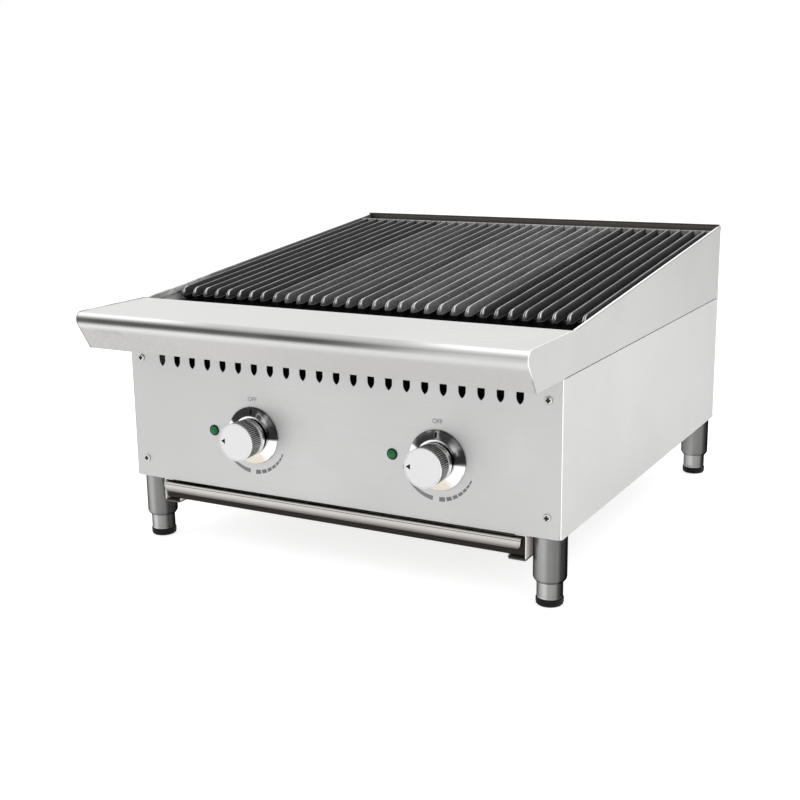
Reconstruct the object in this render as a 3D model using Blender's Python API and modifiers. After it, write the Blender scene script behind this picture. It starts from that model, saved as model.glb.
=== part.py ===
"""Countertop electric charbroiler, 24 inches wide, as an assembly of separate pieces.

Metres, +Z up. X runs to the cook's right and Y away from the cook. The origin is on the counter,
under the centre of the whole machine. Places are given by at(x, depth, height): depth is measured
back from the face of the control panel, and height up from the seam between the lower cabinet and
the upper sides.
"""

import math

import bmesh
import bpy
from mathutils import Matrix, Vector

# ---------------------------------------------------------------- driving dimensions
WIDTH = 0.610
BODY_DEPTH = 0.645
PANEL_HEIGHT = 0.1875
LEG_HEIGHT = 0.0865
LEDGE_HEIGHT = 0.050
LEDGE_END = 0.035
REAR_TOP = 0.110
SPLASH_TOP = 0.1135

SHEET = 0.0012
GAP = 0.0003
BACK = BODY_DEPTH - SHEET - GAP

APRON_FOOT = 0.078
APRON_LEAN = math.radians(31.9)
NOSE_RADIUS = 0.0105
NOSE_Z = LEDGE_HEIGHT - NOSE_RADIUS
NOSE_Y = (NOSE_RADIUS - math.sin(APRON_LEAN) * NOSE_Z) / math.cos(APRON_LEAN) - APRON_FOOT
NOSE_REACH = NOSE_RADIUS - NOSE_Y

GLAND_REACH = 0.022
OVERALL_DEPTH = NOSE_REACH + BODY_DEPTH + GLAND_REACH
PANEL_Y = NOSE_REACH - OVERALL_DEPTH / 2
SEAM_Z = LEG_HEIGHT + PANEL_HEIGHT
HALF = WIDTH / 2
INNER = HALF - SHEET - GAP
FLOOR = -PANEL_HEIGHT

# Folded sheet: bend radius, and the notch that frees each end of a fold from the plate.
FOLD_RADIUS = 0.0016
RELIEF_WIDTH = 0.0010
RELIEF_DEPTH = 0.0024

# Controls, seen from the front.
KNOB_X = {"left": -0.1130, "right": 0.1490}
LAMP_OFFSET = -0.0610
KNOB_Z = -0.1113
KNOB_FACE = 0.0395
KNOB_RADIUS = 0.0244
KNOB_COLLAR = 0.0228
BEZEL_RADIUS = 0.0370
SHAFT_RADIUS = 0.0030
LAMP_RADIUS = 0.0063
SCREW_X = 0.2875
SCREW_HEAD = 0.0050
SCREW_HEIGHTS = {"upper": -0.0250, "lower": -0.1623}

SLOT_COUNT = 22
SLOT_PITCH = 0.0241
SLOT_WIDTH = 0.0094
SLOT_LOW = -0.0336
SLOT_HIGH = -0.0050
SLOT_POINT = 0.0088

# Grates: four castings of eight bars, leaning forward so that fat runs to the front.
GRATE_COUNT = 4
GRATE_MODULE = 0.1502
GRATE_WIDTH = 0.1494
BARS = 8
BAR_PITCH = 0.0186
BAR_HEIGHT = 0.020
BAR_SHOULDER = -0.0105
NOSE_CURVE = 0.0110
GRATE_FRONT = 0.0955
GRATE_FRONT_Z = 0.0545
GRATE_LENGTH = 0.518
GRATE_LEAN = math.atan((REAR_TOP - LEDGE_HEIGHT) / (BODY_DEPTH - LEDGE_END))

# Cross rails of a grate: (front, back) along it, and their foot below the ridges.
FRONT_RAIL = (0.018, 0.028)
REAR_RAIL = (GRATE_LENGTH - 0.0045, GRATE_LENGTH)
RAIL_FOOT = -BAR_HEIGHT - 0.004

# Legs.
LEG_INSET = 0.0213
LEG_X = HALF - LEG_INSET
LEG_RADIUS = 0.0201
LEG_WALL = 0.0015
SLEEVE_RADIUS = 0.0156
CAP_RADIUS = 0.0166
CAP_HEIGHT = 0.0095
TUBE_END = 0.0295
STUD_RADIUS = 0.005
STUD_HEIGHT = 0.016
LEG_STEPS = 16

# Drip tray and the channels it slides in.
TRAY_HALF = 0.2595
TRAY_BACK = 0.600
TRAY_BASE = -0.2140
TRAY_RIM = -0.1925
RAIL_WEB = 0.2605
RAIL_BASE = -0.2195
RAIL_FOOT_WIDTH = 0.024
RAIL_HEAD_WIDTH = 0.014
LIP_HALF = 0.2575

# Heating elements and the wall that shields the controls from them.
TUBE_RADIUS = 0.004
ELEMENT_DROP = 0.046
ELEMENT_RUNS = 4
ELEMENT_NEAR = 0.135
ELEMENT_FAR = 0.575
LEAD_X = (0.050, 0.250)
LEAD_Z = -0.030
WALL_DEPTH = 0.070

# Supply wiring.
GLAND_PLACE = (-0.235, -0.1500)
GLAND_BORE = 0.0055
GLAND_THREAD = 0.0100
CONDUIT_X = -0.2790
CONDUIT_RADIUS = 0.0065
BLOCK_PLACE = (-0.215, 0.030, FLOOR + 0.0026)


def at(x, depth, height):
    return Vector((x, PANEL_Y + depth, SEAM_Z + height))


# ---------------------------------------------------------------- scene and materials
def clear_scene():
    for old in list(bpy.data.objects):
        bpy.data.objects.remove(old, do_unlink=True)


def collection(name):
    made = bpy.data.collections.new(name)
    bpy.context.scene.collection.children.link(made)
    return made


def material(name, colour, roughness, metallic):
    made = bpy.data.materials.new(name)
    made.use_nodes = True
    shader = made.node_tree.nodes["Principled BSDF"]
    shader.inputs["Base Color"].default_value = (*colour, 1.0)
    shader.inputs["Roughness"].default_value = roughness
    shader.inputs["Metallic"].default_value = metallic
    return made


clear_scene()
PARTS = collection("charbroiler")
HELPERS = collection("cutters")
STEEL = material("stainless_steel", (0.72, 0.72, 0.71), 0.35, 1.0)
DULL_STEEL = material("galvanised_steel", (0.45, 0.45, 0.44), 0.55, 1.0)
CHROME = material("chrome", (0.85, 0.85, 0.85), 0.08, 1.0)
IRON = material("cast_iron", (0.045, 0.045, 0.048), 0.55, 0.6)
INCOLOY = material("element_sheath", (0.16, 0.15, 0.14), 0.5, 0.8)
RUBBER = material("black_plastic", (0.02, 0.02, 0.02), 0.5, 0.0)
PLASTIC = material("white_plastic", (0.75, 0.74, 0.70), 0.5, 0.0)
GREEN = material("green_lens", (0.02, 0.30, 0.10), 0.15, 0.0)


# ---------------------------------------------------------------- modelling helpers
def add(name, mesh, finish, place=None, turn=(0.0, 0.0, 0.0)):
    obj = bpy.data.objects.new(name, mesh)
    PARTS.objects.link(obj)
    mesh.materials.append(finish)
    obj.location = place or (0.0, 0.0, 0.0)
    obj.rotation_euler = turn
    return obj


def helper(obj):
    """Makes obj a cutter: it shapes other pieces and is no piece itself."""
    PARTS.objects.unlink(obj)
    HELPERS.objects.link(obj)
    obj.hide_render = True
    obj.display_type = "WIRE"
    return obj


def from_bmesh(name, bm, finish, **placing):
    mesh = bpy.data.meshes.new(name)
    bm.to_mesh(mesh)
    bm.free()
    return add(name, mesh, finish, **placing)


def box(name, low, high, finish):
    bm = bmesh.new()
    bmesh.ops.create_cube(bm, size=1.0)
    low, high = Vector(low), Vector(high)
    bmesh.ops.scale(bm, vec=high - low, verts=bm.verts)
    bmesh.ops.translate(bm, vec=(low + high) / 2, verts=bm.verts)
    return from_bmesh(name, bm, finish)


def cylinder(name, start, end, radius, finish, sides=24):
    axis = end - start
    bm = bmesh.new()
    bmesh.ops.create_cone(
        bm, cap_ends=True, segments=sides, radius1=radius, radius2=radius, depth=axis.length
    )
    turn = axis.to_track_quat("Z", "Y").to_matrix().to_4x4()
    bm.transform(Matrix.Translation((start + end) / 2) @ turn)
    return from_bmesh(name, bm, finish)


def combined(name, objects, finish):
    """One object from several that don't touch, for use as a single cutter."""
    bm = bmesh.new()
    for obj in objects:
        obj.data.transform(obj.matrix_basis)
        bm.from_mesh(obj.data)
        bpy.data.objects.remove(obj)
    return from_bmesh(name, bm, finish)


def boolean(obj, other, operation):
    made = obj.modifiers.new(f"{operation.lower()}_{other.name}", "BOOLEAN")
    made.operation = operation
    made.object = other
    return obj


def cut(obj, *cutters):
    for cutter in cutters:
        boolean(obj, helper(cutter), "DIFFERENCE")
    return obj


def join(obj, *others):
    for other in others:
        boolean(obj, helper(other), "UNION")
    return obj


def baked(obj):
    """The same object with its modifiers turned into plain mesh."""
    bpy.context.view_layer.update()
    graph = bpy.context.evaluated_depsgraph_get()
    mesh = bpy.data.meshes.new_from_object(obj.evaluated_get(graph))
    obj.modifiers.clear()
    obj.data = mesh
    return obj


def thicken(obj, thickness=SHEET, fold_radius=0.0, segments=2):
    """Gives an open surface its sheet thickness, on the side away from its normals."""
    if fold_radius:
        fold = obj.modifiers.new("folds", "BEVEL")
        fold.limit_method = "ANGLE"
        fold.angle_limit = math.radians(40)
        fold.width = fold_radius
        fold.segments = segments
    sheet = obj.modifiers.new("sheet", "SOLIDIFY")
    sheet.thickness = thickness
    sheet.offset = -1.0
    sheet.use_even_offset = True
    return baked(obj)


def swept_sheet(name, path, sweep, finish, thickness=SHEET, fold_radius=0.0):
    """Sheet metal bent along the sweep vector. path holds 3-D points, with the outside on the right of
    someone who walks it with the sweep pointing up."""
    bm = bmesh.new()
    start = [bm.verts.new(point) for point in path]
    edges = [bm.edges.new(pair) for pair in zip(start, start[1:])]
    new = bmesh.ops.extrude_edge_only(bm, edges=edges)["geom"]
    moved = [item for item in new if isinstance(item, bmesh.types.BMVert)]
    bmesh.ops.translate(bm, vec=sweep, verts=moved)
    bm.normal_update()
    outside = (path[1] - path[0]).cross(sweep)
    if edges[0].link_faces[0].normal.dot(outside) < 0:
        bmesh.ops.reverse_faces(bm, faces=bm.faces)
    return thicken(from_bmesh(name, bm, finish), thickness, fold_radius)


def folded_sheet(name, path, half_width, finish, thickness=SHEET):
    """Sheet metal bent along X. path holds (depth, height) points."""
    points = [at(-half_width, *point) for point in path]
    return swept_sheet(name, points, Vector((2 * half_width, 0, 0)), finish, thickness)


def folded_plate(name, outline, folds, finish):
    """A flat sheet with flanges. outline holds 3-D points, counter-clockwise from outside. folds maps
    the first point of an edge to the vector that carries the edge to its flange's end. A notch beside
    each end of a fold frees it from the plate's edge, which runs on past it."""
    middle = sum(outline, Vector()) / len(outline)
    ring, edges = [], []
    for i, point in enumerate(outline):
        if i not in folds:
            ring.append(point)
            continue
        following = outline[(i + 1) % len(outline)]
        along = (following - point).normalized()
        inward = (middle - point) - along * (middle - point).dot(along)
        wide, deep = along * RELIEF_WIDTH, inward.normalized() * RELIEF_DEPTH
        ring += [point, point + deep, point + deep + wide, point + wide]
        edges.append((len(ring) - 1, folds[i]))
        ring += [following - wide, following - wide + deep, following + deep]
    bm = bmesh.new()
    verts = [bm.verts.new(point) for point in ring]
    bm.faces.new(verts)
    for first, vector in edges:
        near, far = verts[first : first + 2]
        outer = [bm.verts.new(vert.co + Vector(vector)) for vert in (near, far)]
        bm.faces.new((far, near, *outer))
    return thicken(from_bmesh(name, bm, finish), fold_radius=FOLD_RADIUS)


def turned(name, profile, finish, place, pointing="up", steps=32, hollow=False):
    """A turned solid. profile holds (radius, height) from the top of the axis down the outer side,
    and, for a hollow one, back up the inner side."""
    bm = bmesh.new()
    verts = [bm.verts.new((radius, 0.0, height)) for radius, height in profile]
    for pair in zip(verts, verts[1:]):
        bm.edges.new(pair)
    if hollow:
        bm.edges.new((verts[-1], verts[0]))
    turn = {"up": (0, 0, 0), "front": (math.pi / 2, 0, 0), "back": (-math.pi / 2, 0, 0)}[pointing]
    obj = from_bmesh(name, bm, finish, place=place, turn=turn)
    screw = obj.modifiers.new("turn", "SCREW")
    screw.steps = steps
    screw.render_steps = steps
    screw.use_merge_vertices = True
    screw.merge_threshold = 0.00001
    obj.data.shade_smooth()
    return obj


def arc(centre, radius, start, end, steps):
    """Points (a, b) on an arc, from the start angle to the end angle in degrees."""
    angles = [math.radians(start + (end - start) * i / steps) for i in range(steps + 1)]
    return [(centre[0] + radius * math.cos(a), centre[1] + radius * math.sin(a)) for a in angles]


def rounded_path(points, radius, steps=3):
    """The polyline with each inner corner replaced by a curve that leaves it radius away."""
    path = [points[0]]
    for before, corner, after in zip(points, points[1:], points[2:]):
        back = corner + (before - corner).normalized() * radius
        ahead = corner + (after - corner).normalized() * radius
        for i in range(steps + 1):
            t = i / steps
            path.append(back * (1 - t) ** 2 + corner * 2 * t * (1 - t) + ahead * t**2)
    return path + [points[-1]]


def tube(name, points, radius, finish):
    """A round bar or cable along the points."""
    curve = bpy.data.curves.new(name, "CURVE")
    curve.dimensions = "3D"
    curve.bevel_depth = radius
    curve.bevel_resolution = 2
    curve.use_fill_caps = True
    spline = curve.splines.new("POLY")
    spline.points.add(len(points) - 1)
    for target, point in zip(spline.points, points):
        target.co = (*point, 1.0)
    obj = bpy.data.objects.new(name, curve)
    PARTS.objects.link(obj)
    curve.materials.append(finish)
    return obj


def prism(name, outline, depth, reach, finish):
    """A bar with the outline (x, height), running back from depth by reach."""
    bm = bmesh.new()
    face = bm.faces.new([bm.verts.new(at(x, depth, z)) for x, z in outline])
    grown = bmesh.ops.extrude_face_region(bm, geom=[face])["geom"]
    moved = [item for item in grown if isinstance(item, bmesh.types.BMVert)]
    bmesh.ops.translate(bm, vec=(0, reach, 0), verts=moved)
    bmesh.ops.recalc_face_normals(bm, faces=bm.faces)
    return from_bmesh(name, bm, finish)


# ---------------------------------------------------------------- cabinet
def apron_path(inset=0.0, steps=8, foot=0.0):
    """(depth, height) over the ledge, round the bullnose and down the leaning face to the foot."""
    radius = NOSE_RADIUS - inset
    lean = math.degrees(APRON_LEAN)
    nose = arc((NOSE_Y, NOSE_Z), radius, 90, 180 + lean, steps)
    last_y, last_z = nose[-1]
    foot_y = last_y + (last_z - foot) * math.tan(APRON_LEAN)
    return [(LEDGE_END - inset, NOSE_Z + radius)] + nose + [(foot_y, foot)]


def mirrored(points, side):
    """Points given for the right side, or their mirror image for the left, kept counter-clockwise."""
    if side == "right":
        return points
    return [Vector((-p.x, p.y, p.z)) for p in reversed(points)]


def side_plate(name, side, profile, folds):
    """profile holds (depth, height) counter-clockwise seen from the right. folds maps the first point
    of an edge to the width of the flange that turns inwards there."""
    outline = mirrored([at(HALF, depth, height) for depth, height in profile], side)
    if side == "right":
        flanges = {first: (-width, 0, 0) for first, width in folds.items()}
    else:
        flanges = {len(profile) - 2 - first: (width, 0, 0) for first, width in folds.items()}
    return folded_plate(name, outline, flanges, STEEL)


def lower_side(side):
    margin, flange, corner = 0.004, 0.012, 0.002
    profile = [
        (0.0, FLOOR + corner),
        (corner, FLOOR),
        (BODY_DEPTH, FLOOR),
        (BODY_DEPTH, FLOOR + margin),
        (BODY_DEPTH, -GAP - margin),
        (BODY_DEPTH, -GAP),
        (BODY_DEPTH - margin, -GAP),
        (margin, -GAP),
        (0.0, -GAP),
    ]
    side_plate(f"side_lower_{side}", side, profile, {3: flange, 6: flange})


def upper_side(side):
    margin, flange, hem = 0.004, 0.010, 0.0026
    corner, clear = 0.002, 0.008
    rise = (REAR_TOP - LEDGE_HEIGHT) / (BODY_DEPTH - LEDGE_END)
    over_apron = apron_path()
    over_apron[-1] = (over_apron[-1][0] + GAP * math.tan(APRON_LEAN), GAP)
    profile = [
        (BODY_DEPTH, GAP),
        (BODY_DEPTH, GAP + margin),
        (BODY_DEPTH, REAR_TOP - clear),
        (BODY_DEPTH, REAR_TOP - corner),
        (BODY_DEPTH - corner, REAR_TOP),
        (BODY_DEPTH - clear, REAR_TOP - clear * rise),
        (LEDGE_END + margin, LEDGE_HEIGHT + margin * rise),
        *over_apron,
        (margin, GAP),
        (BODY_DEPTH - margin, GAP),
    ]
    side_plate(f"side_upper_{side}", side, profile, {1: flange, 5: hem, len(profile) - 2: flange})


def apron():
    """Front ledge: rear flange, ledge, bullnose, leaning face and bottom return in one sheet."""
    inset, flange, fold, foot_end = 0.0008, 0.036, 0.002, 0.0015
    path = apron_path(inset, foot=GAP)
    ledge_end, ledge_z = path[0]
    rear = [(ledge_end, ledge_z - flange)]
    rear += arc((ledge_end - fold, ledge_z - fold), fold, 0, 90, 3)
    folded_sheet("front_apron", rear + path[1:] + [(foot_end, GAP)], INNER, STEEL)


def slot_outline(x):
    """A tall slot with straight sides and a pointed arch at each end."""
    half = SLOT_WIDTH / 2
    radius = (half**2 + SLOT_POINT**2) / SLOT_WIDTH
    swing = math.degrees(math.asin(SLOT_POINT / radius))
    low, high = SLOT_LOW + SLOT_POINT, SLOT_HIGH - SLOT_POINT
    right = arc((x + half - radius, high), radius, 0, swing, 2)
    left = arc((x - half + radius, high), radius, 180 - swing, 180, 2)[1:]
    under_left = arc((x - half + radius, low), radius, 180, 180 + swing, 2)
    under_right = arc((x + half - radius, low), radius, -swing, 0, 2)[1:]
    return right + left + under_left + under_right


def drill(places, front, back, finish=STEEL):
    """One cutter of round pins along Y. places holds (x, height, radius)."""
    pins = [
        cylinder("pin", at(x, front, z), at(x, back, z), radius, finish, 16)
        for x, z, radius in places
    ]
    return combined("drill", pins, finish)


def control_panel():
    half, corner, top, flange, reach = INNER, 0.005, -0.0008, 0.010, 0.0075
    flange_end = half - 0.016
    outline = [at(-half, 0, top)]
    outline += [at(x, 0, z) for x, z in arc((-half + corner, FLOOR + corner), corner, 180, 270, 3)]
    outline += [at(x, 0, z) for x, z in arc((half - corner, FLOOR + corner), corner, 270, 360, 3)]
    outline += [at(half, 0, top), at(flange_end, 0, top), at(-flange_end, 0, top)]
    panel = folded_plate("control_panel", outline, {len(outline) - 2: (0, flange, 0)}, STEEL)
    start = (1 - SLOT_COUNT) / 2 * SLOT_PITCH
    slots = [
        prism("slot", slot_outline(start + i * SLOT_PITCH), -reach, 2 * reach, STEEL)
        for i in range(SLOT_COUNT)
    ]
    shaft_hole, lamp_hole, screw_hole = SHAFT_RADIUS + 0.0015, LAMP_RADIUS + 0.0002, 0.0025
    holes = [(x, KNOB_Z, shaft_hole) for x in KNOB_X.values()]
    holes += [(x + LAMP_OFFSET, KNOB_Z, lamp_hole) for x in KNOB_X.values()]
    holes += [(x, z, screw_hole) for x in (-SCREW_X, SCREW_X) for z in SCREW_HEIGHTS.values()]
    cut(panel, combined("panel_slots", slots, STEEL), drill(holes, -reach, reach))


def back_panel():
    """Back wall and splash: a flat sheet with a rounded hem rolled forward along its top."""
    roll = 0.0026
    top = SPLASH_TOP - roll
    hem = arc((BACK - roll, top), roll, 0, 210, 7)
    path = [(BACK, FLOOR), (BACK, top)] + hem[1:]
    panel = folded_sheet("back_panel", path, INNER - 0.0002, STEEL)
    vent_half, vent_height, reach = 0.030, 0.004, 0.02
    vents = [
        box(
            "vent",
            at(x - vent_half, BODY_DEPTH - reach, z),
            at(x + vent_half, BODY_DEPTH + reach, z + vent_height),
            STEEL,
        )
        for x in (-0.10, 0.0, 0.10)
        for z in (-0.060, -0.075, -0.090)
    ]
    gland_hole = [(*GLAND_PLACE, GLAND_THREAD + 0.0005)]
    cut(panel, combined("back_vents", vents, STEEL), drill(gland_hole, BACK - reach, BACK + reach))


def base_frame():
    """Ring plate that closes the foot of the cabinet and carries the legs and tray channels."""
    side, front, back = 0.050, WALL_DEPTH + 0.006, 0.045
    plate, reach = 0.002, 0.01
    ring = box(
        "base_frame",
        at(-INNER, SHEET + GAP, FLOOR),
        at(INNER, BODY_DEPTH - 0.002 - SHEET, FLOOR + plate),
        DULL_STEEL,
    )
    opening = box(
        "base_opening",
        at(side - HALF, front, FLOOR - reach),
        at(HALF - side, BODY_DEPTH - back, FLOOR + reach),
        STEEL,
    )
    below, above = Vector((0, 0, -reach)), Vector((0, 0, reach))
    studs = []
    for x, depth in leg_places().values():
        middle = at(x, depth, FLOOR)
        studs.append(cylinder("stud_hole", middle + below, middle + above, STUD_RADIUS + 0.0005, STEEL, 16))
    cut(ring, opening, combined("stud_holes", studs, STEEL))


# ---------------------------------------------------------------- firebox
def grate_line(depth, below=0.0):
    """Height of the grates' ridges at a depth, less a distance below them."""
    return GRATE_FRONT_Z + (depth - GRATE_FRONT) * math.tan(GRATE_LEAN) - below


def grate_point(along, up):
    """(depth, height) of a point in a grate's own leaning frame."""
    cos, sin = math.cos(GRATE_LEAN), math.sin(GRATE_LEAN)
    return GRATE_FRONT + along * cos - up * sin, GRATE_FRONT_Z + along * sin + up * cos


def element_leads(side):
    """X of the two ends of an element, from left to right."""
    sign = -1 if side == "left" else 1
    return sorted(sign * x for x in LEAD_X)


def firebox_front_wall():
    """Heat shield behind the controls. Its top turns forward and up to catch fat off the ledge."""
    lip, clear, reach = LEDGE_END + 0.0006 + SHEET, 0.0007, 0.02
    path = [(WALL_DEPTH, FLOOR + 0.0024), (WALL_DEPTH, 0.002), (lip, 0.008), (lip, 0.030)]
    wall = folded_sheet("firebox_front_wall", path, INNER - 0.011, DULL_STEEL)
    holes = [(x, LEAD_Z, TUBE_RADIUS + clear) for side in KNOB_X for x in element_leads(side)]
    holes.append((CONDUIT_X, GLAND_PLACE[1], CONDUIT_RADIUS + clear))
    cut(wall, drill(holes, WALL_DEPTH - reach, WALL_DEPTH + reach))


def angle_bar(name, depth, height, leg, finish=DULL_STEEL, thickness=0.003):
    """An L bar across the cabinet, its flat on top at the height, its upright behind the flat."""
    path = [(depth + leg, height - leg), (depth + leg, height), (depth, height)]
    return folded_sheet(name, path, INNER - 0.0015, finish, thickness=thickness)


def grate_support(name, along):
    """L bar under the grates' cross rails; along is the rail's front edge in a grate's frame."""
    depth, height = grate_point(along, RAIL_FOOT)
    return angle_bar(name, depth - 0.005, height - GAP, 0.014)


def heating_element(side):
    """Sheathed tube bent into four runs under two grates, its ends brought through the wall."""
    first, last = element_leads(side)
    tail, foot, shoulder, bend = WALL_DEPTH - 0.022, 0.100, 0.112, 0.012
    points = [at(first, tail, LEAD_Z), at(first, foot, LEAD_Z)]
    points.append(at(first, shoulder, grate_line(shoulder, ELEMENT_DROP)))
    for i in range(ELEMENT_RUNS):
        x = first + (last - first) * i / (ELEMENT_RUNS - 1)
        ends = [ELEMENT_NEAR, ELEMENT_FAR] if i % 2 == 0 else [ELEMENT_FAR, ELEMENT_NEAR]
        if i == 0:
            ends = ends[1:]
        if i == ELEMENT_RUNS - 1:
            ends[-1] = shoulder
        points += [at(x, depth, grate_line(depth, ELEMENT_DROP)) for depth in ends]
    points += [at(last, foot, LEAD_Z), at(last, tail, LEAD_Z)]
    tube(f"heating_element_{side}", rounded_path(points, bend), TUBE_RADIUS, INCOLOY)


def element_support(name, depth):
    """Light L bar that the elements lie on."""
    top = grate_line(depth, ELEMENT_DROP + TUBE_RADIUS + 2 * GAP)
    return angle_bar(name, depth, top, 0.012, thickness=0.002)


# ---------------------------------------------------------------- grates
def nose_reach(height):
    """How far behind the tip a bar's front face lies at a height: curved back above its shoulder, and
    undercut below it."""
    rise = height - BAR_SHOULDER
    if rise < 0:
        return -0.35 * rise
    return NOSE_CURVE - math.sqrt(NOSE_CURVE**2 - rise**2)


def grate_bars():
    """Eight bars side by side, each wedge-shaped above its shoulder and tapered below it."""
    half = [(0.0012, 0.0), (0.0021, -0.0012), (0.0031, -0.0045), (0.0040, -0.0078)]
    half += [(0.0047, BAR_SHOULDER), (0.0033, -0.0155), (0.0018, -BAR_HEIGHT)]
    ring = half + [(-x, z) for x, z in reversed(half)]
    back = GRATE_LENGTH - 0.002
    bm = bmesh.new()
    for bar in range(BARS):
        x0 = (bar - (BARS - 1) / 2) * BAR_PITCH
        near = [bm.verts.new((x0 + x, nose_reach(z), z)) for x, z in ring]
        far = [bm.verts.new((x0 + x, back, z)) for x, z in ring]
        bm.faces.new(far)
        for i in range(len(half) - 1):
            bm.faces.new((near[i], near[i + 1], near[-2 - i], near[-1 - i]))
        for i in range(len(ring)):
            j = (i + 1) % len(ring)
            bm.faces.new((near[j], near[i], far[i], far[j]))
    bmesh.ops.recalc_face_normals(bm, faces=bm.faces)
    return bm


def grate_mesh():
    """The casting in its own frame: ridges along +Y at height 0, nose at 0."""
    half = GRATE_WIDTH / 2
    rear_top, front_top = -0.0004, -0.0125
    rib_half, rib, rib_top, rib_foot = half - 0.004, (0.262, 0.268), -0.0105, -0.0195
    casting = box("rear_rail", (-half, REAR_RAIL[0], RAIL_FOOT), (half, REAR_RAIL[1], rear_top), IRON)
    bars = from_bmesh("grate_bars", grate_bars(), IRON)
    front = box("front_rail", (-half, FRONT_RAIL[0], RAIL_FOOT), (half, FRONT_RAIL[1], front_top), IRON)
    middle = box("grate_rib", (-rib_half, rib[0], rib_foot), (rib_half, rib[1], rib_top), IRON)
    mesh = baked(join(casting, bars, front, middle)).data
    bpy.data.objects.remove(casting)
    return mesh


def grates():
    mesh = grate_mesh()
    for i in range(GRATE_COUNT):
        x = (i - (GRATE_COUNT - 1) / 2) * GRATE_MODULE
        obj = bpy.data.objects.new(f"grate_{i + 1}", mesh)
        PARTS.objects.link(obj)
        obj.location = at(x, GRATE_FRONT, GRATE_FRONT_Z)
        obj.rotation_euler = (GRATE_LEAN, 0, 0)


# ---------------------------------------------------------------- drip tray
def tray_rail(side):
    """C channel, open inwards, hung under the base frame. The tray rests on the upturned edge of its
    foot, whose front corner is cut off."""
    sign = -1 if side == "left" else 1
    front, back, top, chamfer = 0.0015, 0.610, FLOOR - GAP, 0.006
    web = RAIL_WEB + SHEET
    foot_end, lip_top = web - RAIL_FOOT_WIDTH, TRAY_BASE - GAP
    section = [
        (web - RAIL_HEAD_WIDTH, top),
        (web, top),
        (web, RAIL_BASE),
        (foot_end, RAIL_BASE),
        (foot_end, lip_top),
    ]
    path = mirrored([at(x, front, z) for x, z in section], side)
    rail = swept_sheet(f"tray_rail_{side}", path, Vector((0, back - front, 0)), STEEL, SHEET, 0.0014)
    bm = bmesh.new()
    bmesh.ops.create_cube(bm, size=chamfer * 2)
    bmesh.ops.rotate(bm, matrix=Matrix.Rotation(math.radians(45), 3, "Z"), verts=bm.verts)
    inner = sign * (foot_end - chamfer / 2)
    corner = from_bmesh("rail_corner", bm, STEEL, place=at(inner, front - chamfer / 2, RAIL_BASE))
    cut(rail, corner)


def drip_tray():
    """Shallow pan with a folded lip along its front for pulling it out."""
    front = 0.0015
    corners = [(-TRAY_HALF, front), (TRAY_HALF, front), (TRAY_HALF, TRAY_BACK), (-TRAY_HALF, TRAY_BACK)]
    bm = bmesh.new()
    base = [bm.verts.new(at(x, depth, TRAY_BASE)) for x, depth in corners]
    rim = [bm.verts.new(at(x, depth, TRAY_RIM)) for x, depth in corners]
    bm.faces.new(base[::-1])
    for i in range(4):
        j = (i + 1) % 4
        bm.faces.new((base[i], base[j], rim[j], rim[i]))
    pan = thicken(from_bmesh("drip_tray", bm, STEEL), fold_radius=0.003)
    root, reach, top, bottom, bend = front + SHEET / 2, -0.0055, TRAY_RIM + 0.002, -0.2045, 0.002
    path = [(root, TRAY_RIM - 0.006), (root, top)]
    path += arc((reach + bend, top - bend), bend, 90, 180, 3)
    path += arc((reach + bend, bottom + bend), bend, 180, 290, 3)
    join(pan, folded_sheet("tray_lip", path, LIP_HALF, STEEL))


# ---------------------------------------------------------------- legs
def leg_places():
    """(x, depth) of each leg, by name."""
    back = BODY_DEPTH - LEG_INSET
    return {
        "front_left": (-LEG_X, LEG_INSET),
        "front_right": (LEG_X, LEG_INSET),
        "rear_left": (-LEG_X, back),
        "rear_right": (LEG_X, back),
    }


def leg(name, x, depth):
    """Leg: an outer tube with a stud up through the base, an adjustable sleeve and its rubber foot."""
    place = Vector((x, PANEL_Y + depth, 0.0))
    top = LEG_HEIGHT - GAP
    mouth, bore = SLEEVE_RADIUS + 0.0004, LEG_RADIUS - LEG_WALL
    tube_profile = [
        (0.0, top + STUD_HEIGHT),
        (STUD_RADIUS, top + STUD_HEIGHT),
        (STUD_RADIUS, top),
        (LEG_RADIUS, top),
        (LEG_RADIUS, TUBE_END + 0.0055),
        (LEG_RADIUS - 0.0012, TUBE_END + 0.0025),
        (mouth + 0.0008, TUBE_END),
        (mouth, TUBE_END),
        (mouth, TUBE_END + 0.012),
        (bore, TUBE_END + 0.015),
        (bore, top - LEG_WALL),
        (0.0, top - LEG_WALL),
    ]
    turned(f"leg_tube_{name}", tube_profile, STEEL, place, steps=LEG_STEPS)
    outer, inner = SLEEVE_RADIUS, SLEEVE_RADIUS - LEG_WALL
    low, high = CAP_HEIGHT + GAP, 0.070
    sleeve_profile = [(outer, high), (outer, low), (inner, low), (inner, high)]
    turned(f"foot_sleeve_{name}", sleeve_profile, STEEL, place, steps=LEG_STEPS, hollow=True)
    plug, plug_top = inner - GAP, 0.022
    cap_profile = [
        (0.0, plug_top),
        (plug, plug_top),
        (plug, CAP_HEIGHT),
        (CAP_RADIUS, CAP_HEIGHT),
        (CAP_RADIUS, 0.004),
        (CAP_RADIUS - 0.0012, 0.0012),
        (CAP_RADIUS - 0.004, 0.0),
        (0.0, 0.0),
    ]
    turned(f"foot_cap_{name}", cap_profile, RUBBER, place, steps=LEG_STEPS)
    leg_nut(name, at(x, depth, FLOOR + 0.0023))


def leg_nut(name, foot):
    up = Vector((0, 0, 0.008))
    nut = cylinder(f"leg_nut_{name}", foot, foot + up, 0.0095, DULL_STEEL, 6)
    cut(nut, cylinder("nut_bore", foot - up, foot + 2 * up, STUD_RADIUS + 0.0002, STEEL, LEG_STEPS))


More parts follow.
